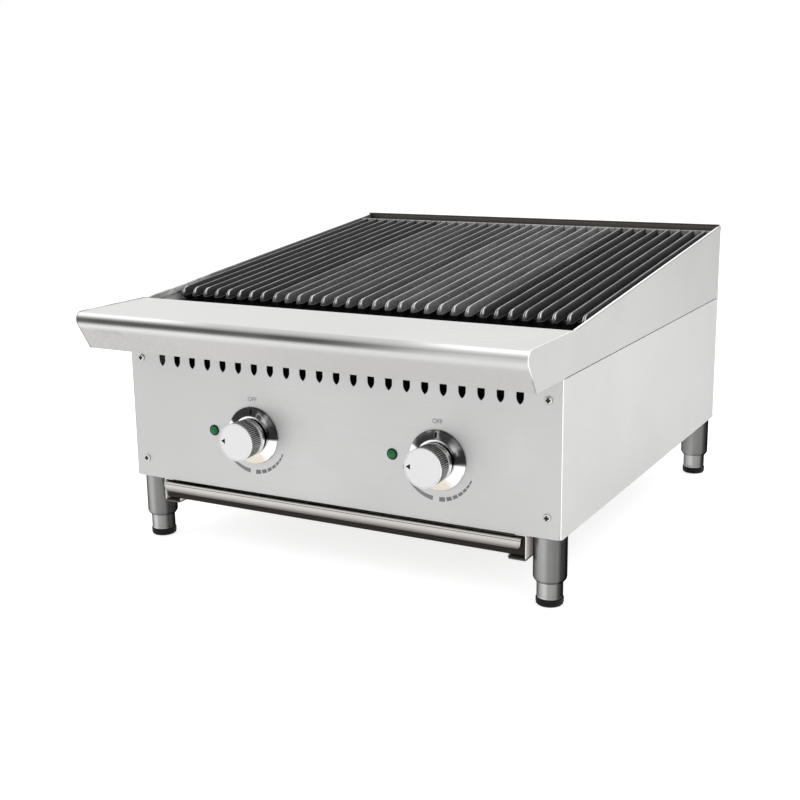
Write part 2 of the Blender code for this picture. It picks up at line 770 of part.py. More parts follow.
# ---------------------------------------------------------------- controls
def knob(side, x):
    """Knob with an inlaid face, on a shaft from the regulator, in the middle of a dished bezel."""
    centre = at(x, 0.0, KNOB_Z)
    opening, base, waist = 0.0200, 0.0068, KNOB_COLLAR - 0.0011
    bezel_profile = [
        (opening, 0.0062),
        (0.0255, 0.0062),
        (0.0290, 0.0050),
        (0.0358, 0.0034),
        (BEZEL_RADIUS, 0.0022),
        (BEZEL_RADIUS, GAP),
        (opening, GAP),
    ]
    turned(f"knob_bezel_{side}", bezel_profile, CHROME, centre, "front", steps=28, hollow=True)
    rim, inlay, socket = KNOB_RADIUS - 0.0011, KNOB_FACE - 0.0016, 0.0300
    knob_profile = [
        (0.0, inlay),
        (rim, inlay),
        (rim, KNOB_FACE),
        (KNOB_RADIUS - 0.0005, KNOB_FACE),
        (KNOB_RADIUS, KNOB_FACE - 0.0008),
        (KNOB_RADIUS - 0.0006, 0.0190),
        (waist, 0.0175),
        (waist, 0.0110),
        (KNOB_COLLAR, 0.0098),
        (KNOB_COLLAR, base),
        (0.0080, base),
        (0.0080, 0.0120),
        (SHAFT_RADIUS + 0.0002, 0.0120),
        (SHAFT_RADIUS + 0.0002, socket),
        (0.0, socket),
    ]
    turned(f"knob_{side}", knob_profile, CHROME, centre, "front", steps=24)
    face, front, back = rim - GAP, KNOB_FACE - 0.0002, inlay + GAP
    face_profile = [(0.0, front), (face, front), (face, back), (0.0, back)]
    turned(f"knob_face_{side}", face_profile, STEEL, centre, "front", steps=24)
    tip, tail = socket - 0.0010, -0.0100
    shaft_profile = [(0.0, tip), (SHAFT_RADIUS, tip), (SHAFT_RADIUS, tail), (0.0, tail)]
    turned(f"knob_shaft_{side}", shaft_profile, DULL_STEEL, centre, "front", steps=16)


def power_regulator(side, x):
    """Energy regulator behind the panel, bored for the knob's shaft, with two rows of tabs."""
    half, front, back = 0.022, 0.0020, 0.034
    low, high = at(x - half, front, KNOB_Z - half), at(x + half, back, KNOB_Z + half)
    body = box(f"power_regulator_{side}", low, high, PLASTIC)
    size = Vector((0.006, 0.010, 0.0008))
    tabs = []
    for across in (-0.012, 0.0, 0.012):
        for up in (-0.010, 0.010):
            corner = at(x + across, back - 0.002, KNOB_Z + up) - Vector((size.x / 2, 0, size.z / 2))
            tabs.append(box("tab", corner, corner + size, STEEL))
    bore = drill([(x, KNOB_Z, SHAFT_RADIUS + 0.0003)], -0.01, 0.0110)
    cut(join(body, combined("regulator_tabs", tabs, STEEL)), bore)


def lamp(side, x):
    """Pilot lamp: a domed lens in a barrel that clips into the panel."""
    centre = at(x + LAMP_OFFSET, 0.0, KNOB_Z)
    outer, inner, tail = LAMP_RADIUS + 0.0008, LAMP_RADIUS - 0.0004, -0.0200
    barrel_profile = [
        (inner, 0.0014),
        (LAMP_RADIUS + 0.0004, 0.0014),
        (outer, 0.0008),
        (outer, GAP),
        (LAMP_RADIUS, GAP),
        (LAMP_RADIUS, tail),
        (inner, tail),
    ]
    turned(f"lamp_barrel_{side}", barrel_profile, STEEL, centre, "front", steps=16, hollow=True)
    lens = inner - 0.0001
    dome = [(0.0, 0.0032), (lens * 0.5, 0.0028), (lens * 0.87, 0.0018), (lens, 0.0008)]
    lens_profile = dome + [(lens, -0.0120), (0.0, -0.0120)]
    turned(f"lamp_lens_{side}", lens_profile, GREEN, centre, "front", steps=16)


def panel_screw(name, x, z):
    """Pan-head screw with a cross recess."""
    shank, tip = 0.0022, -0.0100
    dome = [(0.0, 0.0028), (shank, 0.0026), (0.0042, 0.0017), (SCREW_HEAD, GAP)]
    profile = dome + [(shank, GAP), (shank, tip + 0.0010), (0.0, tip)]
    head = turned(name, profile, STEEL, at(x, 0.0, z), "front", steps=12)
    arm, thin, front, floor = 0.0028, 0.0006, -0.004, -0.0012
    slot = box("slot", at(x - arm, front, z - thin), at(x + arm, floor, z + thin), STEEL)
    cross = box("cross", at(x - thin, front, z - arm), at(x + thin, floor, z + arm), STEEL)
    cut(head, slot, cross)


# ---------------------------------------------------------------- supply wiring
def cable_gland():
    x, z = GLAND_PLACE
    nut, flange, tail = 0.0120, 0.0150, -0.0120
    profile = [
        (GLAND_BORE, GLAND_REACH),
        (0.0085, GLAND_REACH),
        (nut, GLAND_REACH - 0.004),
        (nut, 0.0110),
        (flange, 0.0100),
        (flange, GAP),
        (GLAND_THREAD, GAP),
        (GLAND_THREAD, tail),
        (GLAND_BORE, tail),
    ]
    turned("cable_gland", profile, RUBBER, at(x, BODY_DEPTH, z), "back", steps=16, hollow=True)


def supply_conduit():
    """Armoured sleeve that carries the supply from the gland forward beside the firebox."""
    gland_x, z = GLAND_PLACE
    bend = 0.018
    points = [
        at(gland_x, BODY_DEPTH - 0.015, z),
        at(gland_x, BODY_DEPTH - 0.050, z),
        at(CONDUIT_X, BODY_DEPTH - 0.095, z),
        at(CONDUIT_X, WALL_DEPTH - 0.016, z),
    ]
    tube("supply_conduit", rounded_path(points, bend), CONDUIT_RADIUS, DULL_STEEL)


def terminal_block():
    """Four-way block on the floor of the control compartment, with a rib beside each way."""
    middle = at(*BLOCK_PLACE)
    size = Vector((0.056, 0.022, 0.012))
    corner = middle - Vector((size.x / 2, 0, 0))
    body = box("terminal_block", corner, corner + size, PLASTIC)
    rib, pitch = Vector((0.0016, size.y, 0.010)), 0.0133
    ribs = []
    for i in range(4):
        foot = middle + Vector(((i - 1.5) * pitch - rib.x / 2, 0, size.z - 0.002))
        ribs.append(box("rib", foot, foot + rib, PLASTIC))
    join(body, combined("terminal_ribs", ribs, PLASTIC))


def wiring_loom():
    """Bound wires from the terminal block up behind both regulators."""
    low, high = FLOOR + 0.018, KNOB_Z - 0.010
    run, radius, bend = 0.058, 0.0035, 0.012
    points = [
        at(-0.184, 0.040, low),
        at(-0.165, run, low),
        at(KNOB_X["right"] - 0.030, run, low),
        at(KNOB_X["right"] - 0.010, run, high),
        at(KNOB_X["right"] + 0.020, run, high),
    ]
    tube("wiring_loom", rounded_path(points, bend), radius, RUBBER)


# ---------------------------------------------------------------- assembly
for side in ("left", "right"):
    lower_side(side)
    upper_side(side)
    tray_rail(side)
    heating_element(side)
apron()
control_panel()
back_panel()
base_frame()
firebox_front_wall()
grate_support("grate_support_front", FRONT_RAIL[0])
grate_support("grate_support_rear", REAR_RAIL[0])
element_support("element_support_front", 0.220)
element_support("element_support_rear", 0.480)
grates()
drip_tray()
for name, (leg_x, leg_depth) in leg_places().items():
    leg(name, leg_x, leg_depth)
for side, knob_x in KNOB_X.items():
    knob(side, knob_x)
    power_regulator(side, knob_x)
    lamp(side, knob_x)
for level, screw_z in SCREW_HEIGHTS.items():
    panel_screw(f"panel_screw_{level}_left", -SCREW_X, screw_z)
    panel_screw(f"panel_screw_{level}_right", SCREW_X, screw_z)
cable_gland()
supply_conduit()
terminal_block()
wiring_loom()
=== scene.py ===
"""Looks of a 24 inch countertop electric charbroiler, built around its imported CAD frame.

Metres, +Z up, X to the cook's right, Y away from the cook. As in the CAD, places are given by
at(x, depth, height): depth is measured back from the face of the control panel, and height up from
the seam between the lower cabinet and the upper sides.
"""

import math

import bmesh
import bpy
from mathutils import Matrix, Vector


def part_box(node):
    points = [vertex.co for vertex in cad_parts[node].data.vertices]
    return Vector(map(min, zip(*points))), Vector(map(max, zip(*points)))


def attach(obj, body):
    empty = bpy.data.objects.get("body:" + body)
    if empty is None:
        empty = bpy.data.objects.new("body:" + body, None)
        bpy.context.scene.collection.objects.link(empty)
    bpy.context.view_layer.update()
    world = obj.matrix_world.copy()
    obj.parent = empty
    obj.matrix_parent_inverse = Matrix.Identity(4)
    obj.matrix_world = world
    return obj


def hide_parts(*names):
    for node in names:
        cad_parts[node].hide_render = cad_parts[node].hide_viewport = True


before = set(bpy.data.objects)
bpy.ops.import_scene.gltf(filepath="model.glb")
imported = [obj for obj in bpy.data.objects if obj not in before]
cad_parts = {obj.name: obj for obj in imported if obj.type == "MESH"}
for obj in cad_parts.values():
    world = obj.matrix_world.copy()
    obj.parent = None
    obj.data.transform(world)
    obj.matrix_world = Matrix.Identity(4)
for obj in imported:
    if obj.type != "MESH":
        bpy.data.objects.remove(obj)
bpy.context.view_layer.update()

# ---- places, from the frame
SHEET = 0.0012
GAP = 0.0003
APRON_INSET = 0.0008
SIDE_LOW, SIDE_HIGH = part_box("side_upper_right")
APRON_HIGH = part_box("front_apron")[1]
HALF = SIDE_HIGH.x
INNER = HALF - SHEET - GAP
PANEL_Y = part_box("control_panel")[0].y
SEAM_Z = SIDE_LOW.z - GAP
BODY_DEPTH = SIDE_HIGH.y - PANEL_Y
BACK = BODY_DEPTH - SHEET - GAP
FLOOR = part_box("side_lower_right")[0].z - SEAM_Z
LEDGE_END = APRON_HIGH.y - PANEL_Y + APRON_INSET
LEDGE_HEIGHT = APRON_HIGH.z - SEAM_Z + APRON_INSET
REAR_TOP = SIDE_HIGH.z - SEAM_Z
SPLASH_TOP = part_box("back_panel")[1].z - SEAM_Z
RISE = (REAR_TOP - LEDGE_HEIGHT) / (BODY_DEPTH - LEDGE_END)
SIDES = {"left": -1, "right": 1}


def centre_of(node):
    low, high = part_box(node)
    return (low + high) / 2


def on_panel(node):
    """The point on the panel's face in front of the node's centre."""
    middle = centre_of(node)
    middle.y = PANEL_Y
    return middle


def reach_of(node, centre):
    """How far the node reaches to the right of a centre."""
    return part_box(node)[1].x - centre.x


def at(x, depth, height):
    return Vector((x, PANEL_Y + depth, SEAM_Z + height))


# ---- node helpers
class Nodes:
    """The node tree of a material or a world, with short calls for the few nodes that these use."""

    def __init__(self, owner):
        owner.use_nodes = True
        self.tree = owner.node_tree

    def node(self, kind, inputs=None, **settings):
        """Makes a node. inputs gives inputs their sources or values, by name or number."""
        made = self.tree.nodes.new(f"ShaderNode{kind}")
        for key, value in settings.items():
            setattr(made, key, value)
        for key, source in (inputs or {}).items():
            self.link(source, made.inputs[key])
        return made

    def link(self, source, socket):
        if isinstance(source, (int, float)):
            socket.default_value = source
        elif isinstance(source, tuple):
            socket.default_value = (*source, 1.0)[: len(socket.default_value)]
        else:
            self.tree.links.new(source, socket)

    def split(self, vector):
        return self.node("SeparateXYZ", {"Vector": vector}).outputs

    def steps(self, source, stops, blue=0.985):
        """A colour that goes smoothly through stops of (value from 0 to 1, grey level)."""
        made = self.node("ValToRGB", {"Fac": source})
        made.color_ramp.interpolation = "EASE"
        for _ in stops[2:]:
            made.color_ramp.elements.new(0.5)
        for element, (value, level) in zip(made.color_ramp.elements, stops):
            element.position = value
            element.color = (level, level, level * blue, 1.0)
        return made.outputs["Color"]


class Shader(Nodes):
    """A material. where and facing are the parts of a point's place and of its normal."""

    def __init__(self, name):
        self.material = bpy.data.materials.new(name)
        super().__init__(self.material)
        self.surface = self.tree.nodes["Principled BSDF"]
        self.place = self.node("TexCoord").outputs["Object"]
        self.normal = self.node("NewGeometry").outputs["Normal"]
        self.where, self.facing = self.split(self.place), self.split(self.normal)

    def set(self, **inputs):
        for key, source in inputs.items():
            self.link(source, self.surface.inputs[key.replace("_", " ")])

    def noise(self, scale, stretch=(1, 1, 1), detail=3.0):
        place = self.node("Mapping", {"Vector": self.place, "Scale": stretch}).outputs["Vector"]
        return self.node("TexNoise", {"Vector": place, "Scale": scale, "Detail": detail}).outputs["Fac"]

    def cells(self, scale):
        return self.node("TexVoronoi", {"Vector": self.place, "Scale": scale}).outputs

    def remap(self, source, low, high, to_low=0.0, to_high=1.0, smooth=True):
        ends = {"From Min": low, "From Max": high, "To Min": to_low, "To Max": to_high}
        kind = "SMOOTHSTEP" if smooth else "LINEAR"
        return self.node("MapRange", {"Value": source, **ends}, interpolation_type=kind).outputs["Result"]

    def math(self, operation, a, b=0.0):
        return self.node("Math", {0: a, 1: b}, operation=operation).outputs["Value"]

    def product(self, first, *others):
        for other in others:
            first = self.math("MULTIPLY", first, other)
        return first

    def between(self, value, rise, fall):
        """Rises from 0 to 1 over the first range of the value, and falls back over the second."""
        return self.product(self.remap(value, *rise), self.remap(value, *fall[::-1]))

    def mix(self, factor, a, b):
        """A colour between a, where factor is 0, and b, where it is 1."""
        made = self.node("Mix", {"Factor": factor}, data_type="RGBA")
        sockets = [socket for socket in made.inputs if socket.enabled and socket.type == "RGBA"]
        for source, socket in zip((a, b), sockets):
            self.link(source, socket)
        return next(socket for socket in made.outputs if socket.enabled)

    def along(self, vector, way, start=0.0):
        """How far the vector reaches along a direction, less the start."""
        reach = self.node("VectorMath", {0: vector, 1: way}, operation="DOT_PRODUCT").outputs["Value"]
        return self.math("SUBTRACT", reach, start)

    def layer(self, colour, *factors):
        """Lays a colour over the finish where the product of the factors is 1."""
        under = self.surface.inputs["Base Color"].links[0].from_socket
        self.set(Base_Color=self.mix(self.product(*factors), under, colour))

    def bump(self, height, distance, strength=1.0):
        made = self.node("Bump", {"Height": height, "Distance": distance, "Strength": strength})
        self.set(Normal=made.outputs["Normal"])


# ---- materials
BRUSH = {"x": (0.012, 1, 1), "y": (1, 0.012, 1), "z": (1, 1, 0.012)}
# Grey levels of the painted dark reflection on the chrome bezels.
DARK_REFLECTION_STEPS = ((0.0, 0.03), (0.45, 0.035), (0.6, 0.07), (0.7, 0.24), (0.82, 0.05), (1.0, 0.1))


def grey(level):
    return (level, level, level)


def shade(colour, factor):
    """The colour made lighter or darker."""
    return tuple(min(1.0, c * factor) for c in colour)


def brushed_steel(name, along="x", colour=(0.52, 0.52, 0.515), roughness=0.36, grain=0.025):
    """Sheet steel with a fine grain along one axis and faint cloudy marks from wiping."""
    made = Shader(name)
    streaks = made.noise(1400.0, BRUSH[along], detail=2.0)
    clouds = made.noise(5.0, detail=2.0)
    tint = made.mix(made.remap(streaks, 0.3, 0.7), shade(colour, 1 - grain), shade(colour, 1 + grain))
    rough = made.math("ADD", made.remap(clouds, 0.3, 0.7, -0.03, 0.03), roughness)
    made.set(Base_Color=tint, Metallic=1.0, Roughness=rough)
    made.layer(shade(colour, 0.955), made.remap(clouds, 0.35, 0.65, 0.0, 0.5))
    made.layer(shade(colour, 1.05), made.remap(made.noise(26.0), 0.55, 0.75, 0.0, 0.3))
    made.bump(streaks, 0.000004, 0.3)
    return made


def apron_steel():
    """The ledge's steel, with painted light on its bullnose: a painted reflection of a dark line along most
    of its length, painted highlights over it towards both ends, and painted shade on the leaning face."""
    made = brushed_steel("apron_steel", "x", (0.594, 0.592, 0.585), 0.3, 0.02)
    x, height = made.where["X"], made.math("SUBTRACT", made.where["Z"], SEAM_Z + NOSE_Z)
    # Painted shade: the leaning face is darker than the ledge, more so towards the left end.
    shaded_lean = made.remap(height, -0.007, -0.015)
    made.layer((0.455, 0.45, 0.44), shaded_lean)
    made.layer((0.41, 0.406, 0.397), shaded_lean, made.remap(x, -0.04, -0.28))
    grain = made.noise(620.0, (0.35, 1, 1), detail=2.0)
    made.layer((0.5, 0.495, 0.485), shaded_lean, made.remap(grain, 0.42, 0.66, 0.0, 0.5))
    # Darker patches on the leaning face towards its left end.
    left_patches = made.remap(made.noise(24.0, detail=2.0), 0.52, 0.72, 0.0, 0.55)
    made.layer((0.26, 0.25, 0.245), shaded_lean, left_patches, made.remap(x, -0.15, -0.24))
    # Painted reflection over the bullnose: a grey band, and painted highlights towards both ends.
    above = made.between(height, (0.003, 0.007), (0.0084, 0.0094))
    ends = made.math("ADD", made.remap(x, -0.08, -0.2), made.remap(x, 0.14, 0.24))
    made.layer((0.42, 0.42, 0.415), above, 0.75)
    made.layer((0.84, 0.84, 0.835), above, ends)
    # Painted reflection of a dark line along the bullnose, fainter towards the right end.
    line = made.between(height, (-0.0062, -0.0004), (0.0014, 0.008))
    uneven = made.remap(made.noise(9.0, detail=2.0), 0.3, 0.7, 0.92, 1.0)
    made.layer((0.072, 0.071, 0.069), line, uneven, made.remap(x, 0.03, 0.26, 1.0, 0.32))
    return made


def cast_iron(name, flank, ridge):
    """Seasoned cast iron, grainy from the mould, its ridges lighter, partly from wear and partly as a
    painted highlight; painted glints at the noses, a painted highlight along the shoulder and painted shade
    under it.
    """
    made = Shader(name)
    sine, cosine = math.sin(GRATE_LEAN), math.cos(GRATE_LEAN)
    ways = ((0.0, -sine, cosine), (0.0, cosine, sine))
    height, reach = (made.along(made.place, way, GRATE_ORIGIN.dot(Vector(way))) for way in ways)
    grain = made.noise(1100.0, detail=2.0)
    patches = made.noise(34.0, (1, 0.22, 1), detail=4.0)
    scrapes = made.noise(240.0, (1, 0.06, 1), detail=2.0)
    seasoned = made.mix(made.remap(patches, 0.35, 0.7), flank, shade(flank, 2.0))
    sideways = made.math("ABSOLUTE", made.facing["X"])
    crown = made.product(made.remap(sideways, 0.74, 0.3), made.remap(height, -0.0102, -0.0085))
    rough = made.math("SUBTRACT", made.remap(grain, 0.3, 0.7, 0.42, 0.6), made.product(crown, 0.14))
    made.set(Base_Color=seasoned, Metallic=0.0, Roughness=rough, Specular_IOR_Level=0.24)
    made.bump(grain, 0.0002, 0.45)
    made.layer(shade(flank, 4.0), made.remap(made.noise(420.0, detail=1.0), 0.52, 0.74, 0.0, 0.6))
    # Ridges lighter, partly from wear and partly as a painted highlight.
    wear_and_sheen = made.remap(scrapes, 0.3, 0.62, 0.45, 1.0)
    made.layer(ridge, crown, wear_and_sheen, made.remap(reach, 0.004, 0.016, 0.35, 1.0))
    # Painted glints along both sides of each nose's crown.
    shoulder = made.between(sideways, (0.2, 0.45), (0.65, 0.9))
    nose = made.product(made.remap(reach, 0.015, 0.01), made.remap(height, -0.008, -0.004))
    made.layer(grey(0.8), shoulder, nose, made.remap(scrapes, 0.3, 0.6, 0.4, 1.0))
    # Painted highlight along the shoulder edge.
    made.layer(ridge, made.between(height, (-0.0112, -0.0107), (-0.0103, -0.0097)), 0.5)
    # Painted shade under the shoulder, where the bar is undercut.
    made.layer(grey(0.004), made.remap(height, -0.0112, -0.0125))
    return made


def plain(name, colour, roughness, metallic=0.0, grain=0.06, scale=60.0, bump=0.00003, **more):
    """A moulded, plated or printed finish: one colour with slight unevenness and orange peel."""
    made = Shader(name)
    noise = made.noise(scale)
    tint = made.mix(noise, shade(colour, 1 - grain), shade(colour, 1 + grain))
    rough = made.remap(noise, 0.3, 0.7, roughness * 0.85, roughness * 1.15)
    made.set(Base_Color=tint, Metallic=metallic, Roughness=rough, **more)
    made.bump(noise, bump, 0.3)
    return made


def chrome(name, centre):
    """Polished plate of a bezel about the centre, with a painted reflection of the room: dark over its
    upper part, light below, with painted highlights.
    """
    made = Shader(name)
    across = made.math("SUBTRACT", made.where["X"], centre.x)
    up = made.math("SUBTRACT", made.where["Z"], centre.z)
    turn = made.math("DEGREES", made.math("ARCTAN2", up, across))
    radius = made.math("SQRT", made.math("ADD", made.product(up, up), made.product(across, across)))
    blotches = made.noise(55.0, (1, 1, 0.6), detail=1.0)
    # Painted reflection: dark blotches over the upper part, light below, tinted at the bottom.
    dark = made.steps(made.remap(blotches, 0.25, 0.75, smooth=False), DARK_REFLECTION_STEPS)
    light = made.mix(made.between(turn, (-135, -115), (-65, -45)), grey(0.84), (0.68, 0.62, 0.53))
    room = made.mix(made.between(turn, (-8, 0), (148, 156)), light, dark)
    made.set(Base_Color=room, Metallic=1.0, Roughness=0.1)
    # Painted highlight at the upper right, a painted dark patch at the right, a painted highlight on the
    # lip.
    glare = made.remap(blotches, 0.42, 0.62, 0.15, 0.75)
    made.layer(grey(0.62), made.between(turn, (24, 36), (48, 60)), glare)
    made.layer(grey(0.02), made.between(turn, (-7, 3), (15, 25)))
    lip = made.between(radius, (0.0233, 0.0239), (0.0257, 0.0263))
    made.layer(grey(0.8), lip, made.between(turn, (38, 62), (178, 202)))
    made.bump(made.noise(200.0), 0.00001, 0.2)
    return made


# ---- objects and finishing
def add_object(name, data):
    obj = bpy.data.objects.new(name, data)
    bpy.context.scene.collection.objects.link(obj)
    return obj


def evaluated(obj):
    """The object's mesh with its modifiers or its curve settings applied."""
    graph = bpy.context.evaluated_depsgraph_get()
    return bpy.data.meshes.new_from_object(obj.evaluated_get(graph))


def curve_mesh(curve):
    obj = add_object("curve", curve)
    mesh = evaluated(obj)
    bpy.data.objects.remove(obj)
    return mesh


def mesh_from(name, bm):
    mesh = bpy.data.meshes.new(name)
    bm.to_mesh(mesh)
    bm.free()
    return mesh


def piece(name, bm, *rest, **more):
    """Makes a bmesh a piece, as mesh_piece does a mesh."""
    bmesh.ops.recalc_face_normals(bm, faces=bm.faces)
    return mesh_piece(name, mesh_from(name, bm), *rest, **more)


def mesh_piece(name, mesh, finish, node="", body="cabinet", slot="stainless_sheet", smooth=35.0):
    """Makes a mesh a piece that rides on a body and stands for the CAD node that it replaces."""
    mesh.shade_smooth()
    mesh.set_sharp_from_angle(angle=math.radians(smooth))
    mesh.materials.append(finish.material)
    obj = add_object(name, mesh)
    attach(obj, body)
    if node:
        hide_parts(node)
    return obj


def bevel(obj, width, segments=2, angle=60.0):
    made = obj.modifiers.new("bevel", "BEVEL")
    made.limit_method = "ANGLE"
    made.angle_limit = math.radians(angle)
    made.width = width
    made.segments = segments
    return made


def soften(obj, width=0.00015, edge=None):
    """Breaks the sharp edges, as deburring does. edge is the finish of the ground corners, lighter as
    bright ground steel and as a painted highlight.
    """
    made = bevel(obj, width)
    if edge:
        obj.data.materials.append(edge.material)
        made.material = 1
    obj.modifiers.new("shading", "WEIGHTED_NORMAL").keep_sharp = True


def thicken(obj):
    """Gives a surface the thickness of the sheet, inwards."""
    sheet = obj.modifiers.new("sheet", "SOLIDIFY")
    sheet.thickness = SHEET
    sheet.offset = -1.0
    sheet.use_even_offset = True
    return sheet


def carve(obj, *cutters, lining=None):
    """Cuts meshes out of a piece, and applies the cuts. lining is the finish of the cut faces."""
    helpers = []
    if lining:
        obj.data.materials.append(lining.material)
    for bm in cutters:
        bmesh.ops.recalc_face_normals(bm, faces=bm.faces)
        for face in bm.faces:
            face.material_index = 1 if lining else 0
        helpers.append(add_object("cutter", mesh_from("cutter", bm)))
        cut = obj.modifiers.new("cut", "BOOLEAN")
        cut.operation = "DIFFERENCE"
        cut.object = helpers[-1]
    bpy.context.view_layer.update()
    mesh = evaluated(obj)
    obj.modifiers.clear()
    obj.data = mesh
    for helper in helpers:
        bpy.data.objects.remove(helper)


# ---- outlines and meshes
def arc_angles(start, end, steps):
    return [math.radians(start + (end - start) * i / steps) for i in range(steps + 1)]


def arc(centre, radius, start, end, steps):
    """Points (a, b) on an arc, from the start angle to the end angle in degrees."""
    angles = arc_angles(start, end, steps)
    return [(centre[0] + radius * math.cos(a), centre[1] + radius * math.sin(a)) for a in angles]


def hole(node, radius):
    """A circle about a node's centre, in (x, height)."""
    middle = centre_of(node)
    return arc((middle.x, middle.z - SEAM_Z), radius, 0, 360, 32)[:-1]


def bridge(bm, rings, closed=True):
    """Walls between rings of vertices, each ring with as many as the next."""
    for near, far in zip(rings, rings[1:]):
        count = len(near)
        for i in range(count if closed else count - 1):
            j = (i + 1) % count
            bm.faces.new((near[i], near[j], far[j], far[i]))


def lofts(*stacks):
    """A mesh of solids, each through a stack of rings of as many points."""
    bm = bmesh.new()
    for rings in stacks:
        made = [[bm.verts.new(point) for point in ring] for ring in rings]
        bridge(bm, made)
        bm.faces.new(made[0][::-1])
        bm.faces.new(made[-1])
    return bm


def lathe(profile, place, pointing=90, steps=64, ripple=None):
    """Turns a closed profile of (radius, height), from the top of the axis down the outer side. A
    profile that doesn't reach the axis makes a ring. pointing is how far the axis leans from upright
    to the front, in degrees. ripple(radius, height, angle) changes a radius."""
    bm = bmesh.new()
    solid = profile[0][0] == 0
    turn = Matrix.Translation(place) @ Matrix.Rotation(math.radians(pointing), 4, "X")
    shell = profile[1:-1] if solid else profile
    columns = []
    for i in range(steps):
        angle = 2 * math.pi * i / steps
        column = []
        for radius, height in shell:
            if ripple:
                radius = ripple(radius, height, angle)
            point = Vector((radius * math.cos(angle), radius * math.sin(angle), height))
            column.append(bm.verts.new(turn @ point))
        columns.append(column)
    bridge(bm, columns + columns[:1], closed=not solid)
    if solid:
        for end, (_, height) in ((0, profile[0]), (-1, profile[-1])):
            hub = bm.verts.new(turn @ Vector((0, 0, height)))
            for here, there in zip(columns, columns[1:] + columns[:1]):
                bm.faces.new((hub, here[end], there[end]))
    return bm


def rounded(path, radius, steps=3):
    """The path, in a plane or in space, with each inner corner replaced by a small curve."""
    made = [path[0]]
    for before, corner, after in zip(path, path[1:], path[2:]):
        here = Vector(corner)
        back, ahead = Vector(before) - here, Vector(after) - here
        reach = min(radius, back.length * 0.45, ahead.length * 0.45)
        start, end = here + back.normalized() * reach, here + ahead.normalized() * reach
        for i in range(steps + 1):
            t = i / steps
            made.append(tuple(start * (1 - t) ** 2 + here * 2 * t * (1 - t) + end * t**2))
    return made + [path[-1]]


def ribbon(path, thickness=SHEET):
    """The closed outline of a sheet whose outer face is the path, with its metal on the left."""
    inner = []
    for i, point in enumerate(path):
        before, after = path[max(i - 1, 0)], path[min(i + 1, len(path) - 1)]
        here = Vector(point)
        first, second = here - Vector(before), Vector(after) - here
        first = first.normalized() if first.length else second.normalized()
        second = second.normalized() if second.length else first
        mitre = first + second
        across = Vector((-mitre.y, mitre.x)).normalized()
        left = Vector((-first.y, first.x))
        inner.append(tuple(here + across * thickness / max(0.3, across.dot(left))))
    return list(path) + inner[::-1]


def extruded(outline, half):
    """A bar along X with the outline (depth, height)."""
    return lofts([[at(x, *point) for point in outline] for x in (-half, half)])


def poly_curve(dimensions, lines):
    """Straight-sided splines through lines of points, closed if they lie in a plane."""
    curve = bpy.data.curves.new("curve", "CURVE")
    curve.dimensions = dimensions
    for line in lines:
        spline = curve.splines.new("POLY")
        spline.points.add(len(line) - 1)
        for target, point in zip(spline.points, line):
            target.co = (*point, 1.0)
        spline.use_cyclic_u = dimensions == "2D"
    return curve


def stand_up(mesh, x, depth, height):
    """Turns a mesh made lying on its back to face the cook, at its place."""
    mesh.transform(Matrix.Translation(at(x, depth, height)) @ Matrix.Rotation(math.pi / 2, 4, "X"))


# ---- cabinet
APRON_LEAN = math.radians(31.9)
NOSE_RADIUS = 0.0105
NOSE_Z = LEDGE_HEIGHT - NOSE_RADIUS
NOSE_Y = SIDE_LOW.y - PANEL_Y + NOSE_RADIUS


def apron_path(inset=0.0, steps=24, foot=0.0):
    """(depth, height) over the ledge, round the bullnose and down the leaning face to the foot."""
    radius = NOSE_RADIUS - inset
    nose = arc((NOSE_Y, NOSE_Z), radius, 90, 180 + math.degrees(APRON_LEAN), steps)
    last_y, last_z = nose[-1]
    foot_y = last_y + (last_z - foot) * math.tan(APRON_LEAN)
    return [(LEDGE_END - inset, NOSE_Z + radius)] + nose + [(foot_y, foot)]


def side_shell(name, side, outline, folds, materials, node):
    """A side sheet. outline is (depth, height), counter-clockwise seen from the right. A fold is
    (radius, angle in degrees, flat length) on the edge that starts at its key."""
    bm = bmesh.new()
    ring, strips = [], []
    for i, point in enumerate(outline):
        ring.append(Vector(point))
        if i in folds:
            radius = folds[i][0]
            following = Vector(outline[(i + 1) % len(outline)])
            along = (following - ring[-1]).normalized()
            inward = Vector((-along.y, along.x))
            strips.append((len(ring), inward, folds[i]))
            ring += [ring[-1] + inward * radius, following + inward * radius]
    verts = [bm.verts.new(at(HALF, *point)) for point in ring]
    bm.faces.new(verts)
    for first, inward, (radius, sweep, flat) in strips:
        edge = verts[first : first + 2]
        steps = max(4, round(sweep / 12))
        for step in range(1, steps + 2):
            turn = math.radians(sweep * min(step, steps) / steps)
            out, across = radius * math.sin(turn), radius * (1 - math.cos(turn))
            if step > steps:
                out, across = out + flat * math.cos(turn), across + flat * math.sin(turn)
            points = [base - inward * out for base in ring[first : first + 2]]
            new = [bm.verts.new(at(HALF - across, *point)) for point in points]
            bm.faces.new((edge[1], edge[0], new[0], new[1]))
            edge = new
    if side == "left":
        bmesh.ops.scale(bm, vec=(-1, 1, 1), verts=bm.verts)
        bmesh.ops.reverse_faces(bm, faces=bm.faces)
    bm.normal_update()
    obj = mesh_piece(name, mesh_from(name, bm), materials[0], node, smooth=30.0)
    thicken(obj).material_offset_rim = 1
    soften(obj, 0.0003, edge=materials[1])


def receding_steel(name, near, far):
    """A side's steel, painted darker towards the back as a painted reflection of less of the bright room.
    """
    made = brushed_steel(name, "y", near)
    # Painted shade: darker towards the back.
    made.layer(far, made.remap(made.where["Y"], PANEL_Y, PANEL_Y + BODY_DEPTH, 0.0, 0.9, smooth=False))
    return made


